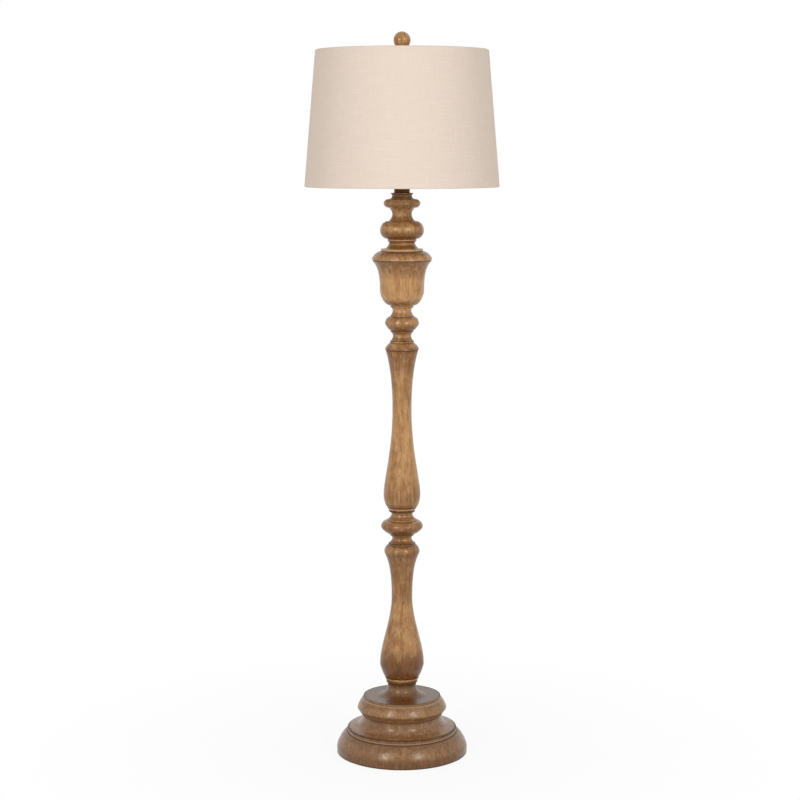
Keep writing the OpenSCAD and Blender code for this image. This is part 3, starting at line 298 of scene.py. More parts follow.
columnWood = woodLook("honeyStainedWood", columnTones, (0, 0, 0), 0.5, 0.06, 1.0)
footWood = woodLook("glazedBaseWood", baseTones, (0.7, 0.2, 0.1), 0.45, 0.25, 0.6)
linen = linenLook()
linerBoard = plainLook("whiteLinerBoard", tone(240, 236, 228), tone(232, 227, 217), 0.55, 20, 700)
darkBronze = metalLook("darkBronze", tone(88, 56, 30), tone(42, 27, 16), 0.33, 90, 0.7)
antiqueBrass = metalLook("antiqueBrass", tone(186, 150, 92), tone(128, 96, 56), 0.3, 120, 0.6)
spiderWire = metalLook("brassedWire", tone(190, 160, 110), tone(140, 112, 72), 0.34, 100, 0.6)
ringWire = metalLook("galvanisedWire", tone(188, 190, 192), tone(150, 152, 155), 0.38, 100, 0.6)
zincSteel = metalLook("zincPlatedSteel", tone(190, 192, 196), tone(150, 152, 158), 0.34, 70, 0.7)
contactBrass = metalLook("contactBrass", tone(205, 170, 104), tone(170, 134, 78), 0.26, 90, 0.5)
bulbMetal = metalLook("bulbCapAluminium", tone(200, 201, 203), tone(170, 171, 174), 0.28, 120, 0.4)
castIron = metalLook("paintedCastIron", tone(52, 52, 54), tone(38, 38, 40), 0.62, 160, 0.7,
                     Coat_Weight=0.1)
feltLook = plainLook("darkFelt", tone(60, 56, 51), tone(44, 41, 38), 0.95, 300, 2400, 0.8)
hardboard = plainLook("brownHardboard", tone(122, 91, 62), tone(98, 72, 49), 0.75, 200, 1500, 0.3)
blackPhenolic = plainLook("blackPhenolic", tone(32, 30, 29), tone(22, 21, 20), 0.32, 90, 900, 0.06)
bushingPlastic = plainLook("bushingNylon", tone(40, 38, 36), tone(30, 28, 27), 0.45, 120, 1100, 0.08)
fibrePaper = plainLook("vulcanisedPaper", tone(92, 80, 66), tone(70, 60, 49), 0.7, 150, 1400, 0.2)
blackGlass = plainLook("blackGlassInsulator", tone(22, 20, 26), tone(12, 11, 15), 0.12, 90, 600, 0.02)
opalGlass = plainLook("opalGlass", tone(244, 243, 238), tone(238, 236, 230), 0.22, 30, 260, 0.02,
                      Coat_Weight=0.4, Coat_Roughness=0.08)
print("materials ready")


# Outlines are lists of moves, each with its radius and its height over the piece's own foot in mm.
# A bare pair is a corner at the end of a straight side. rise leaves level and arrives upright, fall
# the other way round, and sweep is upright at both ends; the numbers after their heights are the
# pulls of their handles, as shares of the way across or up.

def namedMoves(moves):
    return [move if isinstance(move[0], str) else ("side", *move) for move in moves]


def outlineCurve(moves, level=0.0, closed=True, curveSteps=16):
    moves = namedMoves(moves)
    deselect()
    bpy.ops.curve.primitive_bezier_curve_add()
    curve = bpy.context.object
    spline = curve.data.splines[0]
    spline.bezier_points.add(len(moves) - 2)
    spline.resolution_u = curveSteps
    spline.use_cyclic_u = closed
    points = spline.bezier_points
    for point, (how, radius, height, *pulls) in zip(points, moves):
        point.co = (radius * mm, 0, (height + level) * mm)
        point.handle_left_type = point.handle_right_type = "VECTOR"
    for i, (how, radius, height, *pulls) in enumerate(moves):
        if how == "side":
            continue
        start, end = points[i - 1], points[i]
        across, up = end.co.x - start.co.x, end.co.z - start.co.z
        leave = Vector((pulls[0] * across, 0, 0)) if how == "rise" else Vector((0, 0, pulls[0] * up))
        arrive = Vector((pulls[-1] * across, 0, 0)) if how == "fall" else Vector((0, 0, pulls[-1] * up))
        start.handle_right_type = end.handle_left_type = "FREE"
        start.handle_right = start.co + leave
        end.handle_left = end.co - arrive
    pick(curve)
    bpy.ops.object.convert(target="MESH")
    return bpy.context.object


def lineOrder(mesh):
    # vertices in order along an open or a closed line; a closed one has its solid on the left
    links = {v.index: [] for v in mesh.vertices}
    for edge in mesh.edges:
        a, b = edge.vertices
        links[a].append(b)
        links[b].append(a)
    ends = [i for i, others in links.items() if len(others) == 1]
    order, last = [min(ends) if ends else 0], -1
    while True:
        step = [n for n in links[order[-1]] if n != last]
        last = order[-1]
        if not step or len(order) > 2 and step[0] == order[0]:
            break
        order.append(step[0])
    if ends:
        return order
    spots = [mesh.vertices[i].co for i in order]
    area = sum(a.x * b.z - b.x * a.z for a, b in zip(spots, spots[1:] + spots[:1]))
    return order if area > 0 else order[::-1]


def roundCorners(piece, size, beyond=0.0, limit=24):
    # rounds the corners of an outline that lie further out than a radius
    mesh = piece.data
    order = lineOrder(mesh)
    closed = len(mesh.edges) == len(mesh.vertices)
    found = set()
    for i, index in enumerate(order):
        if not closed and i in (0, len(order) - 1):
            continue
        here = mesh.vertices[index].co
        before = (here - mesh.vertices[order[i - 1]].co).normalized()
        after = (mesh.vertices[order[(i + 1) % len(order)]].co - here).normalized()
        if here.x > beyond * mm and before.angle(after, 0) > math.radians(limit):
            found.add(index)
    if found:
        editOnly(piece, "VERT", lambda vertex: vertex.index in found)
        bpy.ops.mesh.bevel(offset=size * mm, offset_type="OFFSET", segments=3, affect="VERTICES")
        bpy.ops.object.mode_set(mode="OBJECT")


def spun(piece, steps):
    editAll(piece)
    bpy.ops.mesh.spin(steps=steps, angle=fullTurn, center=(0, 0, 0), axis=(0, 0, 1))
    bpy.ops.mesh.select_all(action="SELECT")
    bpy.ops.mesh.remove_doubles(threshold=0.00001)
    bpy.ops.mesh.normals_make_consistent(inside=False)
    bpy.ops.object.mode_set(mode="OBJECT")
    return piece


def lathed(moves, level=0.0, steps=64, edge=0.3, closed=True, curveSteps=16):
    piece = outlineCurve(moves, level, closed, curveSteps)
    if edge:
        roundCorners(piece, edge)
    return spun(piece, steps)


def ring(inner, outer, low, high):
    # the outline of a flat ring, or of a disc where inner is 0
    return [(inner, low), (outer, low), (outer, high), (inner, high)]


def rungs(radius, low, high, step):
    # a straight side with rows close enough together to be cut into a thread
    count = max(2, round((high - low) / step))
    return [(radius, low + (high - low) * i / count) for i in range(count + 1)]


def cutThread(piece, radius, low, high, pitch, depth):
    # presses a right-hand thread into the straight side at a radius, fading out at its ends
    for vertex in piece.data.vertices:
        spot = vertex.co
        reach = math.hypot(spot.x, spot.y)
        if abs(reach / mm - radius) < 0.02 and low <= spot.z / mm <= high:
            turn = fullTurn * spot.z / mm / pitch - math.atan2(spot.y, spot.x)
            fade = min(1.0, (spot.z / mm - low) / pitch * 1.5, (high - spot.z / mm) / pitch * 1.5)
            cut = depth * (0.5 - 0.5 * math.cos(turn)) * max(0.0, fade) * mm
            spot.x, spot.y = spot.x * (1 - cut / reach), spot.y * (1 - cut / reach)


def cutFlutes(piece, radius, count, depth):
    # presses flutes into everything outside a radius
    for vertex in piece.data.vertices:
        spot = vertex.co
        reach = math.hypot(spot.x, spot.y)
        if reach > radius * mm:
            wave = max(0.0, math.cos(count * math.atan2(spot.y, spot.x)))
            cut = depth * mm * wave ** 0.5
            spot.x, spot.y = spot.x * (1 - cut / reach), spot.y * (1 - cut / reach)


# Turned wooden sections

turning = {
    "edgeRound": 0.45,
    "roundSteps": 112,
    "baseRoundSteps": 168,
    "bore": 5.5,
    "tenon": (12.0, 9.0),
    "recess": (12.2, 9.2),
    "hollowReach": 0.001,
    "darkLineSpread": 1.3,
    "rubbedAndLitFade": 0.8,
}


def splitStraights(piece, longest, beyond):
    # adds vertices on the long straight edges outside a radius, so that wear, painted highlights and
    # painted shade can be marked there
    for attempt in range(8):
        spots = [v.co for v in piece.data.vertices]
        long = {e.index for e in piece.data.edges
                if min(spots[v].x for v in e.vertices) > beyond * mm
                and (spots[e.vertices[0]] - spots[e.vertices[1]]).length > longest * mm}
        if not long:
            break
        editOnly(piece, "EDGE", lambda edge: edge.index in long)
        bpy.ops.mesh.subdivide(number_cuts=1)
        bpy.ops.object.mode_set(mode="OBJECT")


def markWearShadeAndHighlight(mesh, level, tonerAndShade, lines, wornAndHighlight):
    # toning is given as (height, depth of colour) pairs and holds the wood's toning together with
    # painted shade; lines are the dark seams and the painted shade in quirks, as (radius, height); and
    # the bands from a height to a height are where the finish is rubbed thin and where a highlight is
    # painted, all in mm
    hollowReach, spread, fade = (turning[k] for k in ("hollowReach", "darkLineSpread", "rubbedAndLitFade"))
    order = lineOrder(mesh)
    spots = [mesh.vertices[i].co.copy() for i in order]
    count = len(spots)
    sides = [spots[(i + 1) % count] - spots[i] for i in range(count)]
    lengths = [max(s.length, 1e-7) for s in sides]
    headings = [math.atan2(s.z, s.x) for s in sides]
    bends = [(headings[i] - headings[i - 1] + math.pi) % fullTurn - math.pi for i in range(count)]
    places = [0.0]
    for length in lengths[:-1]:
        places.append(places[-1] + length)
    total = places[-1] + lengths[-1]
    layers = {name: mesh.attributes.new(name, "FLOAT", "POINT") for name in wearShadeAndHighlightNames}
    for i, index in enumerate(order):
        # hollow is high in concave bends and near the listed lines, where shade is painted, and negative
        # on convex edges
        hollow = 0.0
        for j in range(count):
            gap = abs(places[i] - places[j])
            gap = min(gap, total - gap)
            if gap < 4 * hollowReach:
                hollow -= bends[j] * math.exp(-(gap / hollowReach) ** 2)
        reach, height = spots[i].x / mm, spots[i].z / mm - level
        for radius, at in lines:
            hollow = max(hollow, math.exp(-((reach - radius) ** 2 + (height - at) ** 2) / spread))
        normal = (sides[i].normalized() + sides[i - 1].normalized()).normalized()
        # convex edges get both edge wear and a painted highlight
        rubbedAndLit = 0.5 * max(0.0, -hollow)
        for low, high in wornAndHighlight:
            if normal.z > 0.3:
                rubbedAndLit = max(rubbedAndLit, min(1.0, (height - low) / fade, (high - height) / fade))
        depth = tonerAndShade[0][1]
        for (low, first), (high, second) in zip(tonerAndShade, tonerAndShade[1:]):
            if low <= height:
                depth = first + (second - first) * min(1.0, (height - low) / (high - low))
        layers["tonerAndShade"].data[index].value = depth
        layers["wornAndHighlight"].data[index].value = max(0.0, rubbedAndLit)
        layers["groove"].data[index].value = min(1.0, max(0.0, hollow * 0.9))


def turned(name, node, outline, level, tonerAndShade, lines=(), wornAndHighlight=(), look=None, slot="turned_wood",
           tenon=True, recess=True, steps=None, inside=None, curveSteps=24):
    top = namedMoves(outline)[-1][2]
    bore = turning["bore"]
    if inside is None:
        inside = [(bore, top)]
        if recess:
            wide, deep = turning["recess"]
            inside = [(wide, top), (wide, top - deep), (bore, top - deep)]
        if tenon:
            wide, deep = turning["tenon"]
            inside += [(bore, -deep), (wide, -deep), (wide, 0)]
        else:
            inside += [(bore, 0)]
    piece = outlineCurve(outline + inside, level, curveSteps=curveSteps)
    roundCorners(piece, turning["edgeRound"], beyond=13)
    splitStraights(piece, 1.2, beyond=15)
    markWearShadeAndHighlight(piece.data, level, tonerAndShade, lines, wornAndHighlight)
    spun(piece, steps or turning["roundSteps"])
    return finish(piece, name, "lamp", look or columnWood, [node])


plinthOutline = [
    (143.8, 0), ("rise", 144, 12, 0.3), ("fall", 122.5, 46, 0.3), (120.5, 46), (120.5, 55)]
plinthInside = [
    (5.5, 55), (5.5, 23), (110.8, 23), (110.8, 3), (133.5, 3), (133.5, 0)]
coveOutline = [
    (119.5, 0), (119.5, 1.2), (104, 4.8), ("rise", 88, 25, 0.5), (88, 31)]
riserOutline = [
    (88.5, 0), ("rise", 98.4, 14, 0.1), ("fall", 85.5, 36.1, 0.2), (84.8, 36.1), (84.8, 40.6),
    (58, 40.6), ("rise", 31.4, 63.6, 0.6), ("fall", 34.6, 72, 0.6)]
lowerOutline = [
    (34.2, 0), (34.2, 2.5), (37.4, 9.5), (36.6, 10.7), ("rise", 48.4, 41, 0.2),
    ("sweep", 22.7, 193, 0.3, 0.38), ("sweep", 38.7, 293, 0.8, 0.08), ("fall", 29.6, 307, 0.45),
    (29.6, 311)]
knopOutline = [
    (29.8, 0), ("rise", 21, 11, 0.3), ("fall", 26.4, 18, 0.3), (26.4, 20.8),
    ("rise", 45.7, 36.5, 0.3), ("fall", 31.5, 50.5, 0.6), (31.5, 53.3), ("rise", 22.8, 64.5, 0.3),
    ("fall", 28.4, 70.5, 0.3)]
upperOutline = [
    (28.4, 0), (28.4, 3), (32, 8.5), (31.2, 9.7), ("rise", 40.2, 37.5, 0.45),
    ("sweep", 20.8, 225, 0.18, 0.48), ("sweep", 35.3, 353.6, 0.7, 0.02), (34.5, 354.8), (36.9, 356),
    ("fall", 25.8, 370, 0.3), (25.8, 374.5)]
neckOutline = [
    (25.8, 0), ("rise", 19.7, 11, 0.35), ("fall", 24.8, 19.5, 0.35), (24.8, 22.5),
    ("rise", 36.9, 37.5, 0.2), ("fall", 24.8, 53, 0.55), (24.8, 56), ("rise", 20.2, 66, 0.35),
    ("fall", 24.6, 73, 0.35)]
urnOutline = [
    (25.1, 0), (25.1, 3.8), ("rise", 47.9, 38.5, 0.5), ("sweep", 63.5, 100.6, 0.9, 0.08),
    (62.7, 101.8), (65.1, 103), ("fall", 46.5, 120.5, 0.4), (45.6, 120.5), (45.6, 126)]
topOutline = [
    (38, 0), ("rise", 27.9, 12, 0.3), ("fall", 31.2, 16.5, 0.3), (31.2, 21.3),
    ("rise", 47.2, 39.5, 0.55), ("fall", 30, 59.5, 0.55), ("rise", 21.2, 74.5, 0.45),
    ("fall", 30.5, 88, 0.45), ("rise", 39.6, 97.5, 0.5), ("fall", 28.5, 106.5, 0.5),
    ("rise", 21.6, 113, 0.6), ("fall", 24.2, 117.5, 0.6), (24.2, 119.5)]

# each section's toning list holds its real toning together with painted shade under beads, in quirks and
# on shaded ledges; its bands are rubbed finish together with painted highlights on fillets and rims; its
# lines are dark seams together with painted shade in quirks
footKeys = {"look": footWood, "slot": "base_wood", "steps": turning["baseRoundSteps"]}
plinth = turned("basePlinth", "base_plinth", plinthOutline, 2,
                tonerAndShade=[(0, 1), (3, 0.8), (15, 0.72), (22, 0.45), (30, 0.4), (35, 0.5), (42, 0.65),
                       (46, 0.7), (52, 0.65), (55, 0.4)],
                lines=[(143.9, 0.4), (119.8, 55)], wornAndHighlight=[(46.8, 50.5)], inside=plinthInside, **footKeys)
turned("baseCove", "base_cove", coveOutline, 57,
       tonerAndShade=[(0, 0.8), (3, 0.4), (9, 0.45), (15, 0.5), (22, 0.3), (26, 0.5), (31, 0.8)],
       lines=[(119.5, 0), (118, 1.9), (88, 30.6)], tenon=False, recess=False, **footKeys)
turned("baseRiser", "base_riser", riserOutline, 88,
       tonerAndShade=[(0, 0.3), (9, 0.6), (15, 0.28), (24, 0.26), (30, 0.46), (35, 0.36), (38, 0.36),
              (40.2, 0.6), (40.6, 1.15), (46, 1.0), (55, 0.6), (60, 0.55), (64, 0.9), (72, 0.9)],
       lines=[(83.6, 40.6), (34.4, 72)], wornAndHighlight=[(33.8, 38.6)], tenon=False, **footKeys)
turned("lowerBaluster", "lower_baluster", lowerOutline, 160, curveSteps=64,
       tonerAndShade=[(0, 1), (4.5, 0.95), (5.5, 0.5), (9, 0.2), (11, 0.75), (22, 1.1), (30, 1.25),
              (41, 1.15), (48, 1.05), (58, 0.8), (70, 0.6), (78, 0.38), (100, 0.33), (120, 0.4),
              (135, 0.4), (150, 0.26), (176, 0.36), (193, 0.62), (204, 0.54), (225, 0.6), (241, 0.68),
              (260, 0.55), (270, 0.62), (279, 0.8), (288, 0.88), (294, 0.58), (300, 0.45), (305, 0.6),
              (311, 0.6)],
       lines=[(34.2, 0), (38.5, 12.5), (29.6, 311)], wornAndHighlight=[(5.6, 9.4)])
turned("middleKnop", "middle_knop", knopOutline, 471,
       tonerAndShade=[(0, 0.85), (4, 0.8), (9, 0.45), (11, 0.4), (17, 0.8), (21, 1), (29, 1.05), (34, 0.82),
              (41, 0.55), (50, 0.52), (53, 0.55), (58, 0.75), (62, 0.3), (66, 0.1), (70.5, 0.4)],
       lines=[(29.6, 0), (28.4, 70.5)], wornAndHighlight=[(51, 53.2)])
turned("upperBaluster", "upper_baluster", upperOutline, 541.5, curveSteps=64,
       tonerAndShade=[(0, 0.85), (3, 0.85), (6, 0.15), (10, 1.05), (14, 0.85), (20, 0.5), (35, 0.5),
              (60, 0.36), (72, 0.25), (100, 0.15), (168, 0.08), (192, 0.22), (232, 0.29), (256, 0.34),
              (300, 0.38), (308, 0.5), (319, 0.72), (331, 0.66), (340, 0.72), (348, 0.75),
              (353, 0.95), (356, 0.85), (361, 0.58), (368, 0.46), (374.5, 0.2)],
       lines=[(28.4, 0), (28.6, 2.4), (25.8, 374.5)], wornAndHighlight=[(5.6, 8.6)])
turned("neckKnop", "neck_knop", neckOutline, 916,
       tonerAndShade=[(0, 0.5), (5, 0.72), (10, 0.3), (13, 0.35), (17, 0.72), (24, 0.95), (30, 0.85),
              (34, 0.65), (40, 0.3), (44, 0.35), (50, 0.55), (54, 0.65), (57, 0.4), (61, 0.4),
              (66, 0.05), (73, 0.1)],
       lines=[(25.8, 0), (24.6, 73)], wornAndHighlight=[(53.6, 55.8)])
turned("turnedUrn", "urn", urnOutline, 989, curveSteps=40,
       tonerAndShade=[(0, 0), (4, 0), (7, 0.6), (11, 0.8), (15, 0.45), (19, 0.2), (25, 0.15), (60, 0.05),
              (69, 0.3), (78, 0.53), (88, 0.65), (97, 0.8), (101, 0.9), (104, 0.45), (109, 0.3),
              (113, 0.52), (118, 0.75), (120.3, 0.95), (121, 0.4), (126, 0.1)],
       lines=[(25.1, 0), (38.5, 126)], wornAndHighlight=[(0.3, 5), (101.9, 104.4), (121.4, 125.8)])
turned("topTurning", "top_turning", topOutline, 1115, recess=False,
       tonerAndShade=[(0, 0.35), (3, 0.85), (7, 0.88), (10, 0.45), (12, 0.4), (15, 0.8), (17.5, 1),
              (18.5, 0.2), (21, 0.3), (24, 1.1), (30, 0.88), (34, 0.78), (40, 0.42), (46, 0.22),
              (52, 0.55), (59, 0.62), (65, 0.58), (72, 0.32), (76, 0.32), (84, 0.45), (88, 0.6),
              (93, 0.74), (98, 0.3), (101, 0.15), (105, 0.5), (110, 0.75), (115, 0.6), (119.5, 0.55)],
       lines=[(38, 0)], wornAndHighlight=[(18.4, 21)])
print("turned sections ready")


# Cord bushing and felt

base = {
    "bushingLevel": 17.0,
    "bushingInner": 110.8,
    "bushingFace": 142.8,
    "bushingBore": 4.2,
    "bushingBarrel": 5.8,
    "bushingFlange": (8.5, 3.0),
    "bushingGap": 0.2,
    "bushingCut": 105.0,
    "feltRadius": 140.0,
    "feltThickness": 2.0,
}


def bushingCutter():
    # what the bushing takes out of the plinth, along +Y
    gap, reach = base["bushingGap"], base["bushingFace"]
    flange, thick = base["bushingFlange"]
    barrel, start = base["bushingBarrel"] + gap, base["bushingCut"]
    cutter = lathed([(0, start), (barrel, start), (barrel, reach - thick),
                     (flange + gap, reach - thick), (flange + gap, reach + 9), (0, reach + 9)],
                    steps=32, edge=0.02, closed=False)
    cutter.rotation_euler.x = -math.pi / 2
    cutter.location.z = base["bushingLevel"] * mm
    bpy.context.view_layer.update()
    return cutter


combine(plinth, bushingCutter())
shadeSmooth(plinth)

flange, thick = base["bushingFlange"]
bore, barrel = base["bushingBore"], base["bushingBarrel"]
inner, face = base["bushingInner"], base["bushingFace"]
bushing = lathed([(bore, inner), (barrel, inner), (barrel, face - thick), (flange, face - thick),
                  (flange, face), (bore, face)], steps=48, edge=0.6)
bushing.rotation_euler.x = -math.pi / 2
bushing.location.z = base["bushingLevel"] * mm
finish(bushing, "cordBushing", "lamp", bushingPlastic, ["cord_bushing"])

felt = lathed(ring(0, base["feltRadius"], 0, base["feltThickness"]), steps=128, edge=0.6, closed=False)
finish(felt, "feltPad", "lamp", feltLook, ["felt_pad"])


# Neck tube, saddle and harp

fittings = {
    "tubeLevel": 1234.5,
    "tubeRadius": 17.0,
    "tubeHeight": 24.0,
    "tubeWall": 1.5,
    "tubeEdge": 1.2,
    "threadHole": 5.0,
    "saddleLevel": 1258.5,
    "saddleThickness": 1.6,
    "saddleWidth": 12.0,
    "saddleEnd": 33.9,
    "tabAt": 29.8,
    "tabWidth": 3.0,
    "tabHeight": 19.6,
    "sleeveAt": 31.45,
    "sleeveRadii": (3.17, 4.07),
    "sleeveLength": 14.0,
    "sleeveBead": (1.8, 2.2, 0.35),
}
saddleTop = fittings["saddleLevel"] + fittings["saddleThickness"]

tubeRadius, tubeHeight, tubeWall = (fittings[k] for k in ("tubeRadius", "tubeHeight", "tubeWall"))
tubeEdge = fittings["tubeEdge"]
neckTube = lathed([(tubeRadius - tubeWall, 0), (tubeRadius, 0),
                   (tubeRadius, tubeHeight - tubeEdge),
                   ("fall", tubeRadius - tubeEdge, tubeHeight, 0.55),
                   (fittings["threadHole"], tubeHeight),
                   (fittings["threadHole"], tubeHeight - tubeWall),
                   (tubeRadius - tubeWall, tubeHeight - tubeWall)],
                  fittings["tubeLevel"], 80, 0.25, curveSteps=5)
finish(neckTube, "neckTube", "lamp", darkBronze, ["neck_tube"])


def block(size, centre):
    deselect()
    bpy.ops.mesh.primitive_cube_add(size=1, location=[c * mm for c in centre],
                                    scale=[s * mm for s in size])
    bpy.ops.object.transform_apply(location=True, rotation=True, scale=True)
    return bpy.context.object


def makeSaddle():
    level, thin, width = (fittings[k] for k in ("saddleLevel", "saddleThickness", "saddleWidth"))
    saddle = lathed(ring(0, width, 0, thin), level, 64, 0, closed=False)
    combine(saddle, block((2 * fittings["saddleEnd"], width, thin), (0, 0, level + thin / 2)), "UNION")
    tall = fittings["tabHeight"]
    for side in (-1, 1):
        tab = block((thin, fittings["tabWidth"], tall), (side * fittings["tabAt"], 0, level + tall / 2))
        combine(saddle, tab, "UNION")
    combine(saddle, lathed(ring(0, fittings["threadHole"], -3, 5), level, 48, 0, closed=False))
    addModifier(saddle, "BEVEL", width=0.3 * mm, segments=2, limit_method="ANGLE",
                angle_limit=math.radians(40))
    finish(saddle, "harpSaddle", "lamp", antiqueBrass, ["harp_saddle"])


makeSaddle()

for side, body, name, node in ((-1, "sleeve_left", "harpSleeveLeft", "harp_sleeve_left"),
                               (1, "sleeve_right", "harpSleeveRight", "harp_sleeve_right")):
    small, large = fittings["sleeveRadii"]
    long = fittings["sleeveLength"]
    bead, shoulder, waist = fittings["sleeveBead"]
    sleeve = lathed([(small, 0), (large, 0), (large, bead), (large - waist, shoulder),
                     (large - waist, long - shoulder), (large, long - bead), (large, long),
                     (small, long)],
                    saddleTop, 40, 0.25)
    sleeve.location.x = side * fittings["sleeveAt"] * mm
    finish(sleeve, name, body, antiqueBrass, [node])

harp = {
    "wire": 3.2,
    "footGap": 2.0,
    "legAt": 32.3,
    "bendRadius": 80.0,
    "bendLevel": 1294.42,
    "lean": 20.0,
    "sideRadius": 246.0,
    "topLean": 22.0,
    "crownAt": 4.5,
    "seatLevel": 1520.0,
    "seat": (9.0, 4.0),
    "stud": (2.9, 11.0),
    "studPitch": 0.95,
    "studDepth": 0.4,
    "studStart": 0.4,
    "studChamfer": 0.8,
    "studRow": 0.16,
}


def wireTube(knots, thickness, steps, around=4):
    # knots are (point, handle before, handle after), each an (x, z) pair in mm
    deselect()
    bpy.ops.curve.primitive_bezier_curve_add()
    curve = bpy.context.object
    curve.data.dimensions = "3D"
    spline = curve.data.splines[0]
    spline.bezier_points.add(len(knots) - 2)
    spline.resolution_u = steps
    for point, spots in zip(spline.bezier_points, knots):
        point.handle_left_type = point.handle_right_type = "FREE"
        point.co, point.handle_left, point.handle_right = (Vector((x * mm, 0, z * mm)) for x, z in spots)
    curve.data.bevel_depth = thickness / 2 * mm
    curve.data.bevel_resolution = around
    curve.data.use_fill_caps = True
    pick(curve)
    bpy.ops.object.convert(target="MESH")
    editAll(bpy.context.object)
    bpy.ops.mesh.remove_doubles(threshold=0.000001)
    bpy.ops.mesh.normals_make_consistent(inside=False)
    bpy.ops.object.mode_set(mode="OBJECT")
    return bpy.context.object


def harpKnots():
    lean, topLean = math.radians(harp["lean"]), math.radians(harp["topLean"])
    legAt, bend, side = harp["legAt"], harp["bendRadius"], harp["sideRadius"]
    sideAt = legAt + bend * (1 - math.cos(lean)) - side * math.cos(lean)
    sideLevel = harp["bendLevel"] + (side + bend) * math.sin(lean)
    crown = (sideAt + side * math.cos(topLean) - harp["crownAt"]) / math.cos(topLean)
    crownLevel = sideLevel + (side - crown) * math.sin(topLean)
    arcs = [((legAt + bend, harp["bendLevel"]), bend, math.pi, math.pi - lean),
            ((sideAt, sideLevel), side, -lean, topLean),
            ((harp["crownAt"], crownLevel), crown, topLean, math.pi / 2)]
    knots = [[(legAt, saddleTop + harp["footGap"])] * 3, [(legAt, harp["bendLevel"])] * 3]
    for (x, z), radius, start, end in arcs:
        pull = 4 / 3 * math.tan((end - start) / 4) * radius
        (a, b), (c, d) = ((x + radius * math.cos(t), z + radius * math.sin(t)) for t in (start, end))
        before = (a - pull * math.sin(start), b + pull * math.cos(start))
        after = (c + pull * math.sin(end), d - pull * math.cos(end))
        knots[-1] = (knots[-1][0], knots[-1][1], before)
        knots.append(((c, d), after, (c, d)))
    mirrored = [tuple((-x, z) for x, z in (point, after, before))
                for point, before, after in reversed(knots)]
    return knots + mirrored


harpWire = wireTube(harpKnots(), harp["wire"], 20)
seatRadius, seatThick = harp["seat"]
studRadius, studLong = harp["stud"]
studStart, studEnd = harp["studStart"], studLong - harp["studChamfer"]
seatTop = harp["seatLevel"]
seat = lathed([(0, -seatThick), (seatRadius, -seatThick), (seatRadius, 0), (studRadius, 0)]
              + rungs(studRadius, studStart, studEnd, harp["studRow"])
              + [(studRadius - harp["studChamfer"], studLong), (0, studLong)],
              seatTop, 40, 0.3, closed=False)
cutThread(seat, studRadius, seatTop + studStart, seatTop + studEnd, harp["studPitch"], harp["studDepth"])
finish(joined(harpWire, seat), "harpLoop", "lamp", antiqueBrass, ["harp"])
print("harp ready")


# Socket, switch and bulb

socket = {
    "capLevel": 1265.1,
    "capRadius": 16.8,
    "capHeight": 22.0,
    "hub": (5.0, 7.0, 8.0),
    "brass": 0.8,
    "shellLevel": 1277.1,
    "shellRadius": 15.8,
    "shellHeight": 56.0,
    "stemLevel": 1291.1,
    "stemRadius": 2.0,
    "stemHole": (2.3, 4.0, 22.0),
    "contactLevel": 1304.1,
    "screwShell": (13.9, 0.6, 26.0, 6.0),
    "shellThread": (2.0, 24.5),
    "threadPitch": 3.64,
    "threadDepth": 0.75,
    "knobFace": 19.8,
    "knobRadius": 7.0,
    "knobLength": 12.0,
    "knobFlutes": (12, 1.2, 0.8),
}

capRadius, capHeight, brass = socket["capRadius"], socket["capHeight"], socket["brass"]
hubIn, hubOut, hubHigh = socket["hub"]
socketCap = lathed([
    (hubIn, 0), (10, 0), ("rise", capRadius - 0.4, 9, 0.55), (capRadius - 0.4, 15.2),
    (capRadius - 0.9, 15.9), (capRadius - 0.9, 16.6), (capRadius - 0.4, 17.3),
    (capRadius - 0.4, 19.4), (capRadius, 20), (capRadius, capHeight), (capRadius - brass, capHeight),
    (capRadius - brass, 19.4), (capRadius - brass - 0.5, 9), (10, brass), (hubOut, brass),
    (hubOut, hubHigh), (hubIn, hubHigh)], socket["capLevel"], 72, 0.25, curveSteps=8)
finish(socketCap, "socketCap", "lamp", antiqueBrass, ["socket_cap"])

shellRadius, shellHeight = socket["shellRadius"], socket["shellHeight"]
socketShell = lathed([
    (shellRadius - brass, 0), (shellRadius, 0), (shellRadius, 22),
    ("rise", shellRadius - 0.5, 23.4, 0.1), (shellRadius - 0.5, 24.6), (shellRadius, 26),
    (shellRadius, 47), (shellRadius - 0.5, 48.2), (shellRadius - 0.5, 49.4), (shellRadius, 50.6),
    (shellRadius, shellHeight), (shellRadius - brass, shellHeight)],
    socket["shellLevel"], 72, 0.3, curveSteps=4)
stemHole = lathed(ring(0, *socket["stemHole"]), 0, 32, 0.02, closed=False)
stemHole.rotation_euler.x = math.pi / 2
stemHole.location.z = socket["stemLevel"] * mm
bpy.context.view_layer.update()
combine(socketShell, stemHole)
finish(socketShell, "socketShell", "lamp", antiqueBrass, ["socket_shell"])

pitch, depth = socket["threadPitch"], socket["threadDepth"]
outer, thin, high, hole = socket["screwShell"]
contactLevel = socket["contactLevel"]
threadLow, threadHigh = socket["shellThread"]
screwShell = lathed(
    [(hole, 0), (outer, 0)] + rungs(outer, threadLow, threadHigh, pitch / 10)
    + [(outer, high), (outer - thin, high)]
    + rungs(outer - thin, threadLow, threadHigh, pitch / 10)[::-1]
    + [(outer - thin, thin), (hole, thin)], contactLevel, 64, 0.2)
for radius in (outer, outer - thin):
    cutThread(screwShell, radius, contactLevel + threadLow, contactLevel + threadHigh, pitch, depth)
finish(screwShell, "screwShell", "lamp", contactBrass, ["screw_shell"])

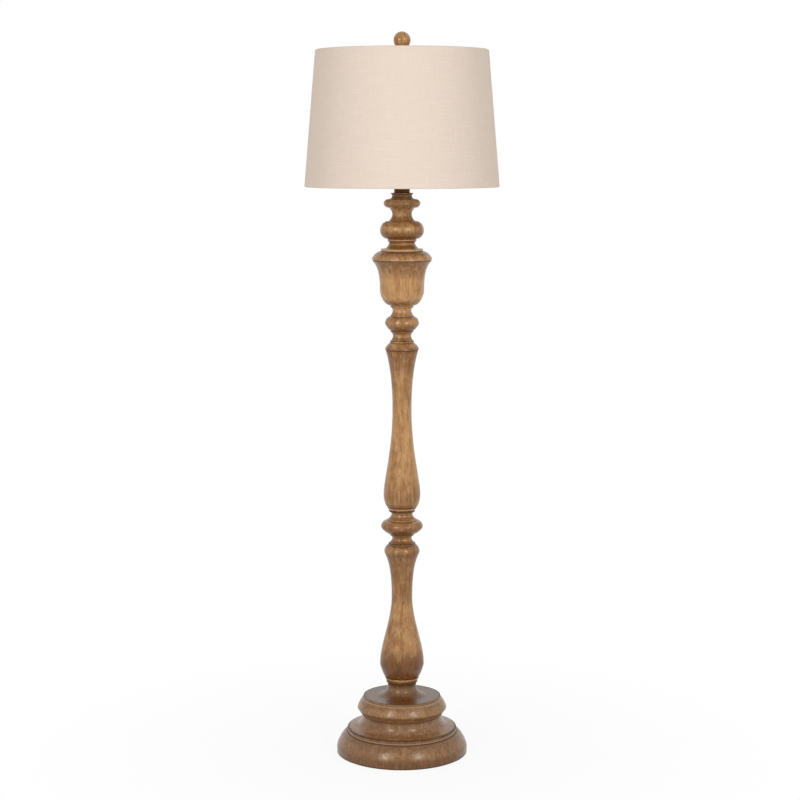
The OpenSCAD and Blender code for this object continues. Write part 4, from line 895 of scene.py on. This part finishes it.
knobLength, knobRadius = socket["knobLength"], socket["knobRadius"]
knobBore = socket["stemRadius"] + 0.1
knob = lathed([(0, knobLength / 2), (knobBore, knobLength / 2), (knobBore, 0), (knobRadius - 0.9, 0),
               (knobRadius, 1.4), (knobRadius, knobLength - 1.6),
               ("fall", knobRadius - 1.4, knobLength, 0.55), (0, knobLength)],
              0, 96, 0.25, closed=False, curveSteps=5)
flutes, fluteBand, fluteDepth = socket["knobFlutes"]
cutFlutes(knob, knobRadius - fluteBand, flutes, fluteDepth)
knob.rotation_euler.x = math.pi / 2
knob.location = (0, -socket["knobFace"] * mm, socket["stemLevel"] * mm)
finish(knob, "switchKnob", "switch", blackPhenolic, ["switch_knob"])

bulb = {
    "capLevel": 1311.5,
    "capRadius": 13.0,
    "capHeight": 22.0,
    "capWall": 1.0,
    "capThread": (2.4, 19.0),
    "insulator": (6.5, 11.0, 3.4),
    "contact": (4.8, 1.6),
    "neckRadius": 11.7,
    "neckLevel": 1328.5,
    "sweepLevel": 1337.5,
    "globeRadius": 30.0,
    "globeLevel": 1383.5,
    "topLevel": 1413.5,
    "glassWall": 1.0,
}
capOut, capLevel, capTop = (bulb[k] for k in ("capRadius", "capLevel", "capHeight"))
capIn = capOut - bulb["capWall"]
threadLow, threadHigh = bulb["capThread"]
bulbCap = lathed(
    [(0, 0), (bulb["insulator"][1], 0), (capOut, 2)]
    + rungs(capOut, threadLow, threadHigh, pitch / 10)
    + [(capOut, capTop), (capIn, capTop), (capIn - 0.4, threadHigh), (capIn - 0.4, threadLow),
       (10, 1), (0, 1)],
    capLevel, 64, 0.15, closed=False)
cutThread(bulbCap, capOut, capLevel + threadLow, capLevel + threadHigh, pitch, depth)
finish(bulbCap, "bulbCap", "bulb_base", bulbMetal, ["bulb_cap"])
glass = lathed([(bulb["neckRadius"], bulb["neckLevel"]),
                (bulb["neckRadius"], bulb["sweepLevel"]),
                ("sweep", bulb["globeRadius"], bulb["globeLevel"], 0.45, 0.5),
                ("fall", 0, bulb["topLevel"], 0.552)], 0, 72, 0.3, closed=False)
addModifier(glass, "SOLIDIFY", thickness=bulb["glassWall"] * mm, offset=-1)
finish(glass, "bulbGlass", "bulb", opalGlass, ["bulb_glass"], smooth=60)
low, wide, tall = bulb["insulator"]
insulator = lathed([(0, 0), (low, 0), ("rise", wide, tall, 0.4), (0, tall)],
                   capLevel - tall, 56, 0.3, closed=False)
finish(insulator, "bulbInsulator", "bulb_base", blackGlass, ["bulb_insulator"])
contactRadius, contactHigh = bulb["contact"]
contact = lathed([(0, 0), ("rise", contactRadius, contactHigh * 0.6, 0.7),
                  (contactRadius, contactHigh), (0, contactHigh)],
                 capLevel - tall - contactHigh, 40, 0.15, closed=False, curveSteps=8)
finish(contact, "bulbContact", "bulb_base", bulbMetal, ["bulb_contact"])
print("socket and bulb ready")


# Shade

shade = {
    "topRadius": 185.0,
    "bottomRadius": 209.0,
    "topLevel": 1537.0,
    "bottomLevel": 1247.0,
    "rollRadius": 2.45,
    "cloth": 0.8,
    "liner": 0.8,
    "glue": 0.1,
    "turnIn": 9.0,
    "overlap": 12.0,
    "slit": 6.0,
    "slitDepth": (1.2, 3.2),
    "columns": 240,
    "wallRows": 26,
    "rollRows": 12,
    "turnRows": 5,
    "ringWire": 3.0,
    "ringGap": 0.15,
    "strip": (10.0, 0.032, 0.2, 0.6),
    "washer": (5.2, 14.0, 1.5),
    "washerLevel": 1520.0,
    "armWire": 2.6,
    "armTurns": (90, 210, 330),
    "armPulls": (6.0, 60.0),
    "armRun": 169.0,
}
topAt = (shade["topRadius"] - shade["rollRadius"], shade["topLevel"] - shade["rollRadius"])
bottomAt = (shade["bottomRadius"] - shade["rollRadius"], shade["bottomLevel"] + shade["rollRadius"])
slope = (shade["bottomRadius"] - shade["topRadius"]) / (topAt[1] - bottomAt[1])
clothMiddle = shade["rollRadius"] - shade["cloth"] / 2


def wallRadius(z):
    return shade["topRadius"] + slope * (topAt[1] - z)


def clothPath():
    # middle of the linen from its turned-in top edge, over the rings and down to the bottom one
    inner = 1.5 * shade["cloth"] + shade["liner"] + 2 * shade["glue"]
    turnRows = shade["turnRows"]
    path = []
    for i in range(turnRows):
        part = i / turnRows
        z = topAt[1] - shade["turnIn"] * (1 - part)
        end = wallRadius(topAt[1] - shade["turnIn"]) - inner
        path.append((end + (topAt[0] - clothMiddle - end) * part, z))
    for i in range(shade["rollRows"] + 1):
        t = math.pi * (1 - i / shade["rollRows"])
        path.append((topAt[0] + clothMiddle * math.cos(t), topAt[1] + clothMiddle * math.sin(t)))
    start, end = (topAt[0] + clothMiddle, topAt[1]), (bottomAt[0] + clothMiddle, bottomAt[1])
    for i in range(1, shade["wallRows"]):
        part = i / shade["wallRows"]
        path.append((start[0] + (end[0] - start[0]) * part, start[1] + (end[1] - start[1]) * part))
    for i in range(shade["rollRows"] + 1):
        t = -math.pi * i / shade["rollRows"]
        path.append((bottomAt[0] + clothMiddle * math.cos(t), bottomAt[1] + clothMiddle * math.sin(t)))
    for i in range(1, turnRows + 1):
        part = i / turnRows
        z = bottomAt[1] + shade["turnIn"] * part
        end = wallRadius(bottomAt[1] + shade["turnIn"]) - inner
        path.append((bottomAt[0] - clothMiddle + (end - bottomAt[0] + clothMiddle) * part, z))
    return [Vector(spot) for spot in path]


def makeLinen():
    path = clothPath()
    rows = len(path) - 1
    runs = [0.0]
    for a, b in zip(path, path[1:]):
        runs.append(runs[-1] + (b - a).length)
    outward = []
    for i in range(rows + 1):
        along = path[min(i + 1, rows)] - path[max(i - 1, 0)]
        outward.append(Vector((-along.y, along.x)).normalized())
    lapSteps = 4
    columns = shade["columns"] + lapSteps
    lap = shade["overlap"] / (0.5 * (shade["topRadius"] + shade["bottomRadius"]))
    turns = [fullTurn * i / shade["columns"] for i in range(shade["columns"] + 1)]
    turns += [fullTurn + lap * (i + 1) / lapSteps for i in range(lapSteps)]
    deselect()
    bpy.ops.mesh.primitive_grid_add(x_subdivisions=columns, y_subdivisions=rows, size=2)
    cloth = bpy.context.object
    mesh = cloth.data
    cells = {}
    for vertex in mesh.vertices:
        column = round((vertex.co.x + 1) / 2 * columns)
        row = round((vertex.co.y + 1) / 2 * rows)
        cells[vertex.index] = (column, row)
        lifted = 1.0 if column >= shade["columns"] else 0.0
        spot = path[row] + outward[row] * (shade["cloth"] + shade["glue"]) * lifted
        turn = turns[column] + math.pi / 2
        vertex.co = (spot.x * math.cos(turn) * mm, spot.x * math.sin(turn) * mm, spot.y * mm)
    lean = math.sin(math.atan(slope))
    wallTop = shade["turnRows"] + shade["rollRows"]
    apex = shade["topRadius"] / lean
    layer = mesh.uv_layers[0] if mesh.uv_layers else mesh.uv_layers.new(name="UVMap")
    for loop in mesh.loops:
        column, row = cells[loop.vertex_index]
        far = (apex + runs[row] - runs[wallTop]) * mm
        swing = (turns[column] - math.pi) * lean
        layer.data[loop.index].uv = (far * math.sin(swing), apex * mm - far * math.cos(swing))
    arms = [math.radians(turn) for turn in shade["armTurns"]]
    half = shade["slit"] / 2 / topAt[0]
    inward, down = shade["slitDepth"]

    def inSlit(face):
        spot = face.center
        turn = math.atan2(spot.y, spot.x)
        near = min(abs((turn - a + math.pi) % fullTurn - math.pi) for a in arms)
        reach = math.hypot(spot.x, spot.y)
        return (near < half + math.pi / shade["columns"] and reach < (topAt[0] - inward) * mm
                and spot.z > (topAt[1] - down) * mm)

    editOnly(cloth, "FACE", inSlit)
    bpy.ops.mesh.delete(type="FACE")
    bpy.ops.object.mode_set(mode="OBJECT")
    addModifier(cloth, "SOLIDIFY", thickness=shade["cloth"] * mm, offset=0, use_even_offset=True)
    cloth = finish(cloth, "shadeLinen", "shade", linen, ["shade_linen"], smooth=60)
    long = runs[-1] * mm
    print("linen: path", round(long, 4), "m")
    return cloth, long


linenCloth, clothLength = makeLinen()
meanRound = (fullTurn * 0.5 * (shade["topRadius"] + shade["bottomRadius"]) + shade["overlap"]) * mm
round(clothLength * meanRound, 4)

linerTop = topAt[1] - shade["ringWire"] / 2 - shade["ringGap"]
linerBottom = bottomAt[1] + shade["ringWire"] / 2 + shade["ringGap"]
outerGap = shade["cloth"] + shade["glue"]
innerGap = outerGap + shade["liner"]
liner = lathed([(wallRadius(linerBottom) - innerGap, linerBottom),
                (wallRadius(linerBottom) - outerGap, linerBottom),
                (wallRadius(linerTop) - outerGap, linerTop),
                (wallRadius(linerTop) - innerGap, linerTop)], 0, 192, 0.15)

stripEnd, stripTurn, stripGap, stripThick = shade["strip"]  # over the joint of the liner, inside
deselect()
bpy.ops.mesh.primitive_grid_add(x_subdivisions=6, y_subdivisions=24, size=2)
lapStrip = bpy.context.object
for vertex in lapStrip.data.vertices:
    z = linerBottom + stripEnd + (linerTop - linerBottom - 2 * stripEnd) * (vertex.co.y + 1) / 2
    turn = math.pi / 2 + vertex.co.x * stripTurn
    reach = (wallRadius(z) - innerGap - stripGap) * mm
    vertex.co = (reach * math.cos(turn), reach * math.sin(turn), z * mm)
addModifier(lapStrip, "SOLIDIFY", thickness=stripThick * mm, offset=0)
editAll(lapStrip)
bpy.ops.mesh.normals_make_consistent(inside=False)
finish(joined(liner, lapStrip), "shadeLiner", "shade", linerBoard, ["shade_liner"])

washerIn, washerOut, washerThick = shade["washer"]
spiderParts = [lathed(ring(washerIn, washerOut, 0, washerThick), shade["washerLevel"], 56, 0.3)]
deselect()
bpy.ops.mesh.primitive_torus_add(major_radius=topAt[0] * mm, minor_radius=shade["ringWire"] / 2 * mm,
                                 major_segments=180, minor_segments=14, location=(0, 0, topAt[1] * mm))
spiderParts.append(bpy.context.object)
armFrom = (washerOut - washerThick, shade["washerLevel"] + washerThick / 2)
leave, arrive = shade["armPulls"]
drop = (topAt[1] - armFrom[1]) * arrive / shade["armRun"]
armKnots = [(armFrom, armFrom, (armFrom[0] + leave, armFrom[1])),
            (topAt, (topAt[0] - arrive, topAt[1] - drop), topAt)]
for turn in shade["armTurns"]:
    arm = wireTube(armKnots, shade["armWire"], 24)
    arm.rotation_euler.z = math.radians(turn)
    spiderParts.append(arm)
finish(joined(*spiderParts), "shadeSpider", "shade", spiderWire, ["shade_spider"])
print("shade ready")


# Finial

finial = {
    "insertLevel": 1521.5,
    "flange": (8.0, 2.5),
    "knurl": (32, 0.5, 0.25),
    "stemRadius": 5.5,
    "stemTop": 1553.0,
    "bore": (3.2, 11.3),
    "ballLevel": 1557.2,
    "ballRadius": 18.2,
    "ballGap": 0.3,
    "ballRows": 40,
}
flangeRadius, flangeHigh = finial["flange"]
boreRadius, boreDeep = finial["bore"]
stemHigh = finial["stemTop"] - finial["insertLevel"]
insert = lathed([(boreRadius, 0), (flangeRadius, 0), (flangeRadius, flangeHigh),
                 (finial["stemRadius"], flangeHigh), (finial["stemRadius"], stemHigh),
                 (0, stemHigh)], finial["insertLevel"], 96, 0.3, closed=False)
knurls, knurlBand, knurlDepth = finial["knurl"]
cutFlutes(insert, flangeRadius - knurlBand, knurls, knurlDepth)
boreWall = lathed([(0, boreDeep), (boreRadius, boreDeep), (boreRadius, 0)],
                  finial["insertLevel"], 96, 0.02, closed=False)
insert = joined(insert, boreWall)
editAll(insert)
bpy.ops.mesh.remove_doubles(threshold=0.00002)
bpy.ops.mesh.normals_make_consistent(inside=False)
finish(insert, "finialInsert", "finial_stem", antiqueBrass, ["finial_insert"])


def makeBall():
    radius, level = finial["ballRadius"], finial["ballLevel"]
    hole = finial["stemRadius"] + finial["ballGap"]
    roof = finial["stemTop"] - level
    low = -math.sqrt(radius ** 2 - hole ** 2)
    outline = [(0, roof), (hole, roof), (hole, low)]
    start = math.asin(low / radius)
    rows = finial["ballRows"]
    for i in range(1, rows + 1):
        t = start + (math.pi / 2 - start) * i / rows
        outline.append((radius * math.cos(t), radius * math.sin(t)))
    outline[-1] = (0, radius)
    ball = outlineCurve(outline, level, closed=False)
    roundCorners(ball, 0.4, beyond=2)
    for name in wearShadeAndHighlightNames:
        ball.data.attributes.new(name, "FLOAT", "POINT")
    # painted shade: the ball gets darker towards its bottom
    for vertex in ball.data.vertices:
        lowness = max(0.0, (level * mm - vertex.co.z) / (radius * mm))
        ball.data.attributes["tonerAndShade"].data[vertex.index].value = 0.3 + 0.5 * lowness ** 2
    spun(ball, 72)
    finish(ball, "finialBall", "finial", columnWood, ["finial_ball"])


makeBall()
print("finial ready")


# CAD pieces that keep their shape

def dress(look, *nodes):
    for node in nodes:
        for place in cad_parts[node].material_slots:
            place.material = look


dress(zincSteel, "lower_pipe", "upper_pipe", "pipe_coupling", "bottom_washer", "bottom_nut", "neck_nut",
      "cover_screws")
dress(castIron, "base_weight")
dress(hardboard, "base_cover")
dress(blackPhenolic, "socket_body")
dress(fibrePaper, "socket_liner")
dress(contactBrass, "centre_contact", "switch_stem")
dress(ringWire, "shade_bottom_ring")


# Stage, lights and camera

stage = {
    "floorSize": 6.0,
    "floorGrey": 0.9,
    "shadowFade": (0.15, 0.9),
    "nearShare": 0.9,
    "cameraAt": (-0.0043, -4.24, 1.332),
    "cameraDip": 7.33,
    "lens": 88.5,
    "boxTurn": 33.0,
    "boxDistance": 3.0,
    "boxSize": (0.36, 1.0),
    "boxLevel": 1.95,
    "boxAim": 0.8,
    "boxPower": 25.5,
    "fill": 0.56,
    "backFill": 1.6,
    "backFocus": 6,
}


def camera():
    deselect()
    dip = math.radians(stage["cameraDip"])
    bpy.ops.object.camera_add(location=stage["cameraAt"], rotation=(math.pi / 2 - dip, 0, 0))
    eye = bpy.context.object
    eye.data.lens = stage["lens"]
    eye.data.sensor_width = 36
    eye.data.clip_end = 60
    bpy.context.scene.camera = eye


def softboxes():
    for side in (-1, 1):
        turn = math.radians(stage["boxTurn"]) * side
        spot = Vector((math.sin(turn), -math.cos(turn), 0)) * stage["boxDistance"]
        spot.z = stage["boxLevel"]
        deselect()
        bpy.ops.object.light_add(type="AREA", location=spot)
        box = bpy.context.object
        box.data.shape = "RECTANGLE"
        box.data.size, box.data.size_y = stage["boxSize"]
        box.data.energy = stage["boxPower"]
        aim = Vector((0, 0, stage["boxAim"])) - spot
        box.rotation_euler = aim.to_track_quat("-Z", "Y").to_euler()


def rayKinds(tree):
    return (tree.node("LightPath", out="Is " + kind + " Ray")
            for kind in ("Camera", "Glossy", "Transmission"))


def paintWorld():
    # a soft fill all round, stronger from the back, and a white backdrop for the camera, gloss and glass
    world = bpy.data.worlds.new("paleStudio")
    bpy.context.scene.world = world
    studio = Tree(world)
    studio.tree.nodes.clear()
    eye, gloss, glass = rayKinds(studio)
    behind = studio.axis(studio.node("TexCoord", out="Generated"), "Y")
    strength = stage["fill"] + stage["backFill"] * behind.atLeast(0.0) ** stage["backFocus"]
    soft = studio.node("Background", {}, {"Strength": strength})
    white = studio.node("Background", {}, {"Color": (1, 1, 1, 1), "Strength": 1.0})
    backdrop = eye.atLeast(gloss).atLeast(glass)
    mixed = studio.node("MixShader", {}, {0: backdrop, 1: soft, 2: white})
    studio.node("OutputWorld", {}, {0: mixed})


def layFloor():
    # white for the camera, with part of its soft shadow left near the base
    deselect()
    bpy.ops.mesh.primitive_circle_add(vertices=96, radius=stage["floorSize"], fill_type="NGON")
    floor = bpy.context.object
    floor.name = "studioFloor"
    paint = Tree(bpy.data.materials.new("paleFloor"))
    paint.tree.nodes.clear()
    near, away = stage["shadowFade"]
    place = paint.node("TexCoord", out="Object")
    reach = paint.node("VectorMath", {"operation": "LENGTH"}, {0: place}, "Value")
    share = paint.node("MapRange", {}, {"Value": reach, "From Min": near, "From Max": away,
                                        "To Min": stage["nearShare"]})
    matt = paint.node("BsdfDiffuse", {}, {"Color": (stage["floorGrey"],) * 3 + (1,)})
    glow = paint.node("Emission", {}, {"Strength": 1.0})
    eye, gloss, glass = rayKinds(paint)
    mixed = paint.node("MixShader", {}, {0: eye.atLeast(gloss).atLeast(glass) * share, 1: matt, 2: glow})
    paint.node("OutputMaterial", {}, {0: mixed})
    floor.data.materials.append(paint.owner)


camera()
softboxes()
paintWorld()
layFloor()
bpy.context.scene.view_settings.view_transform = "Standard"
print("stage ready")
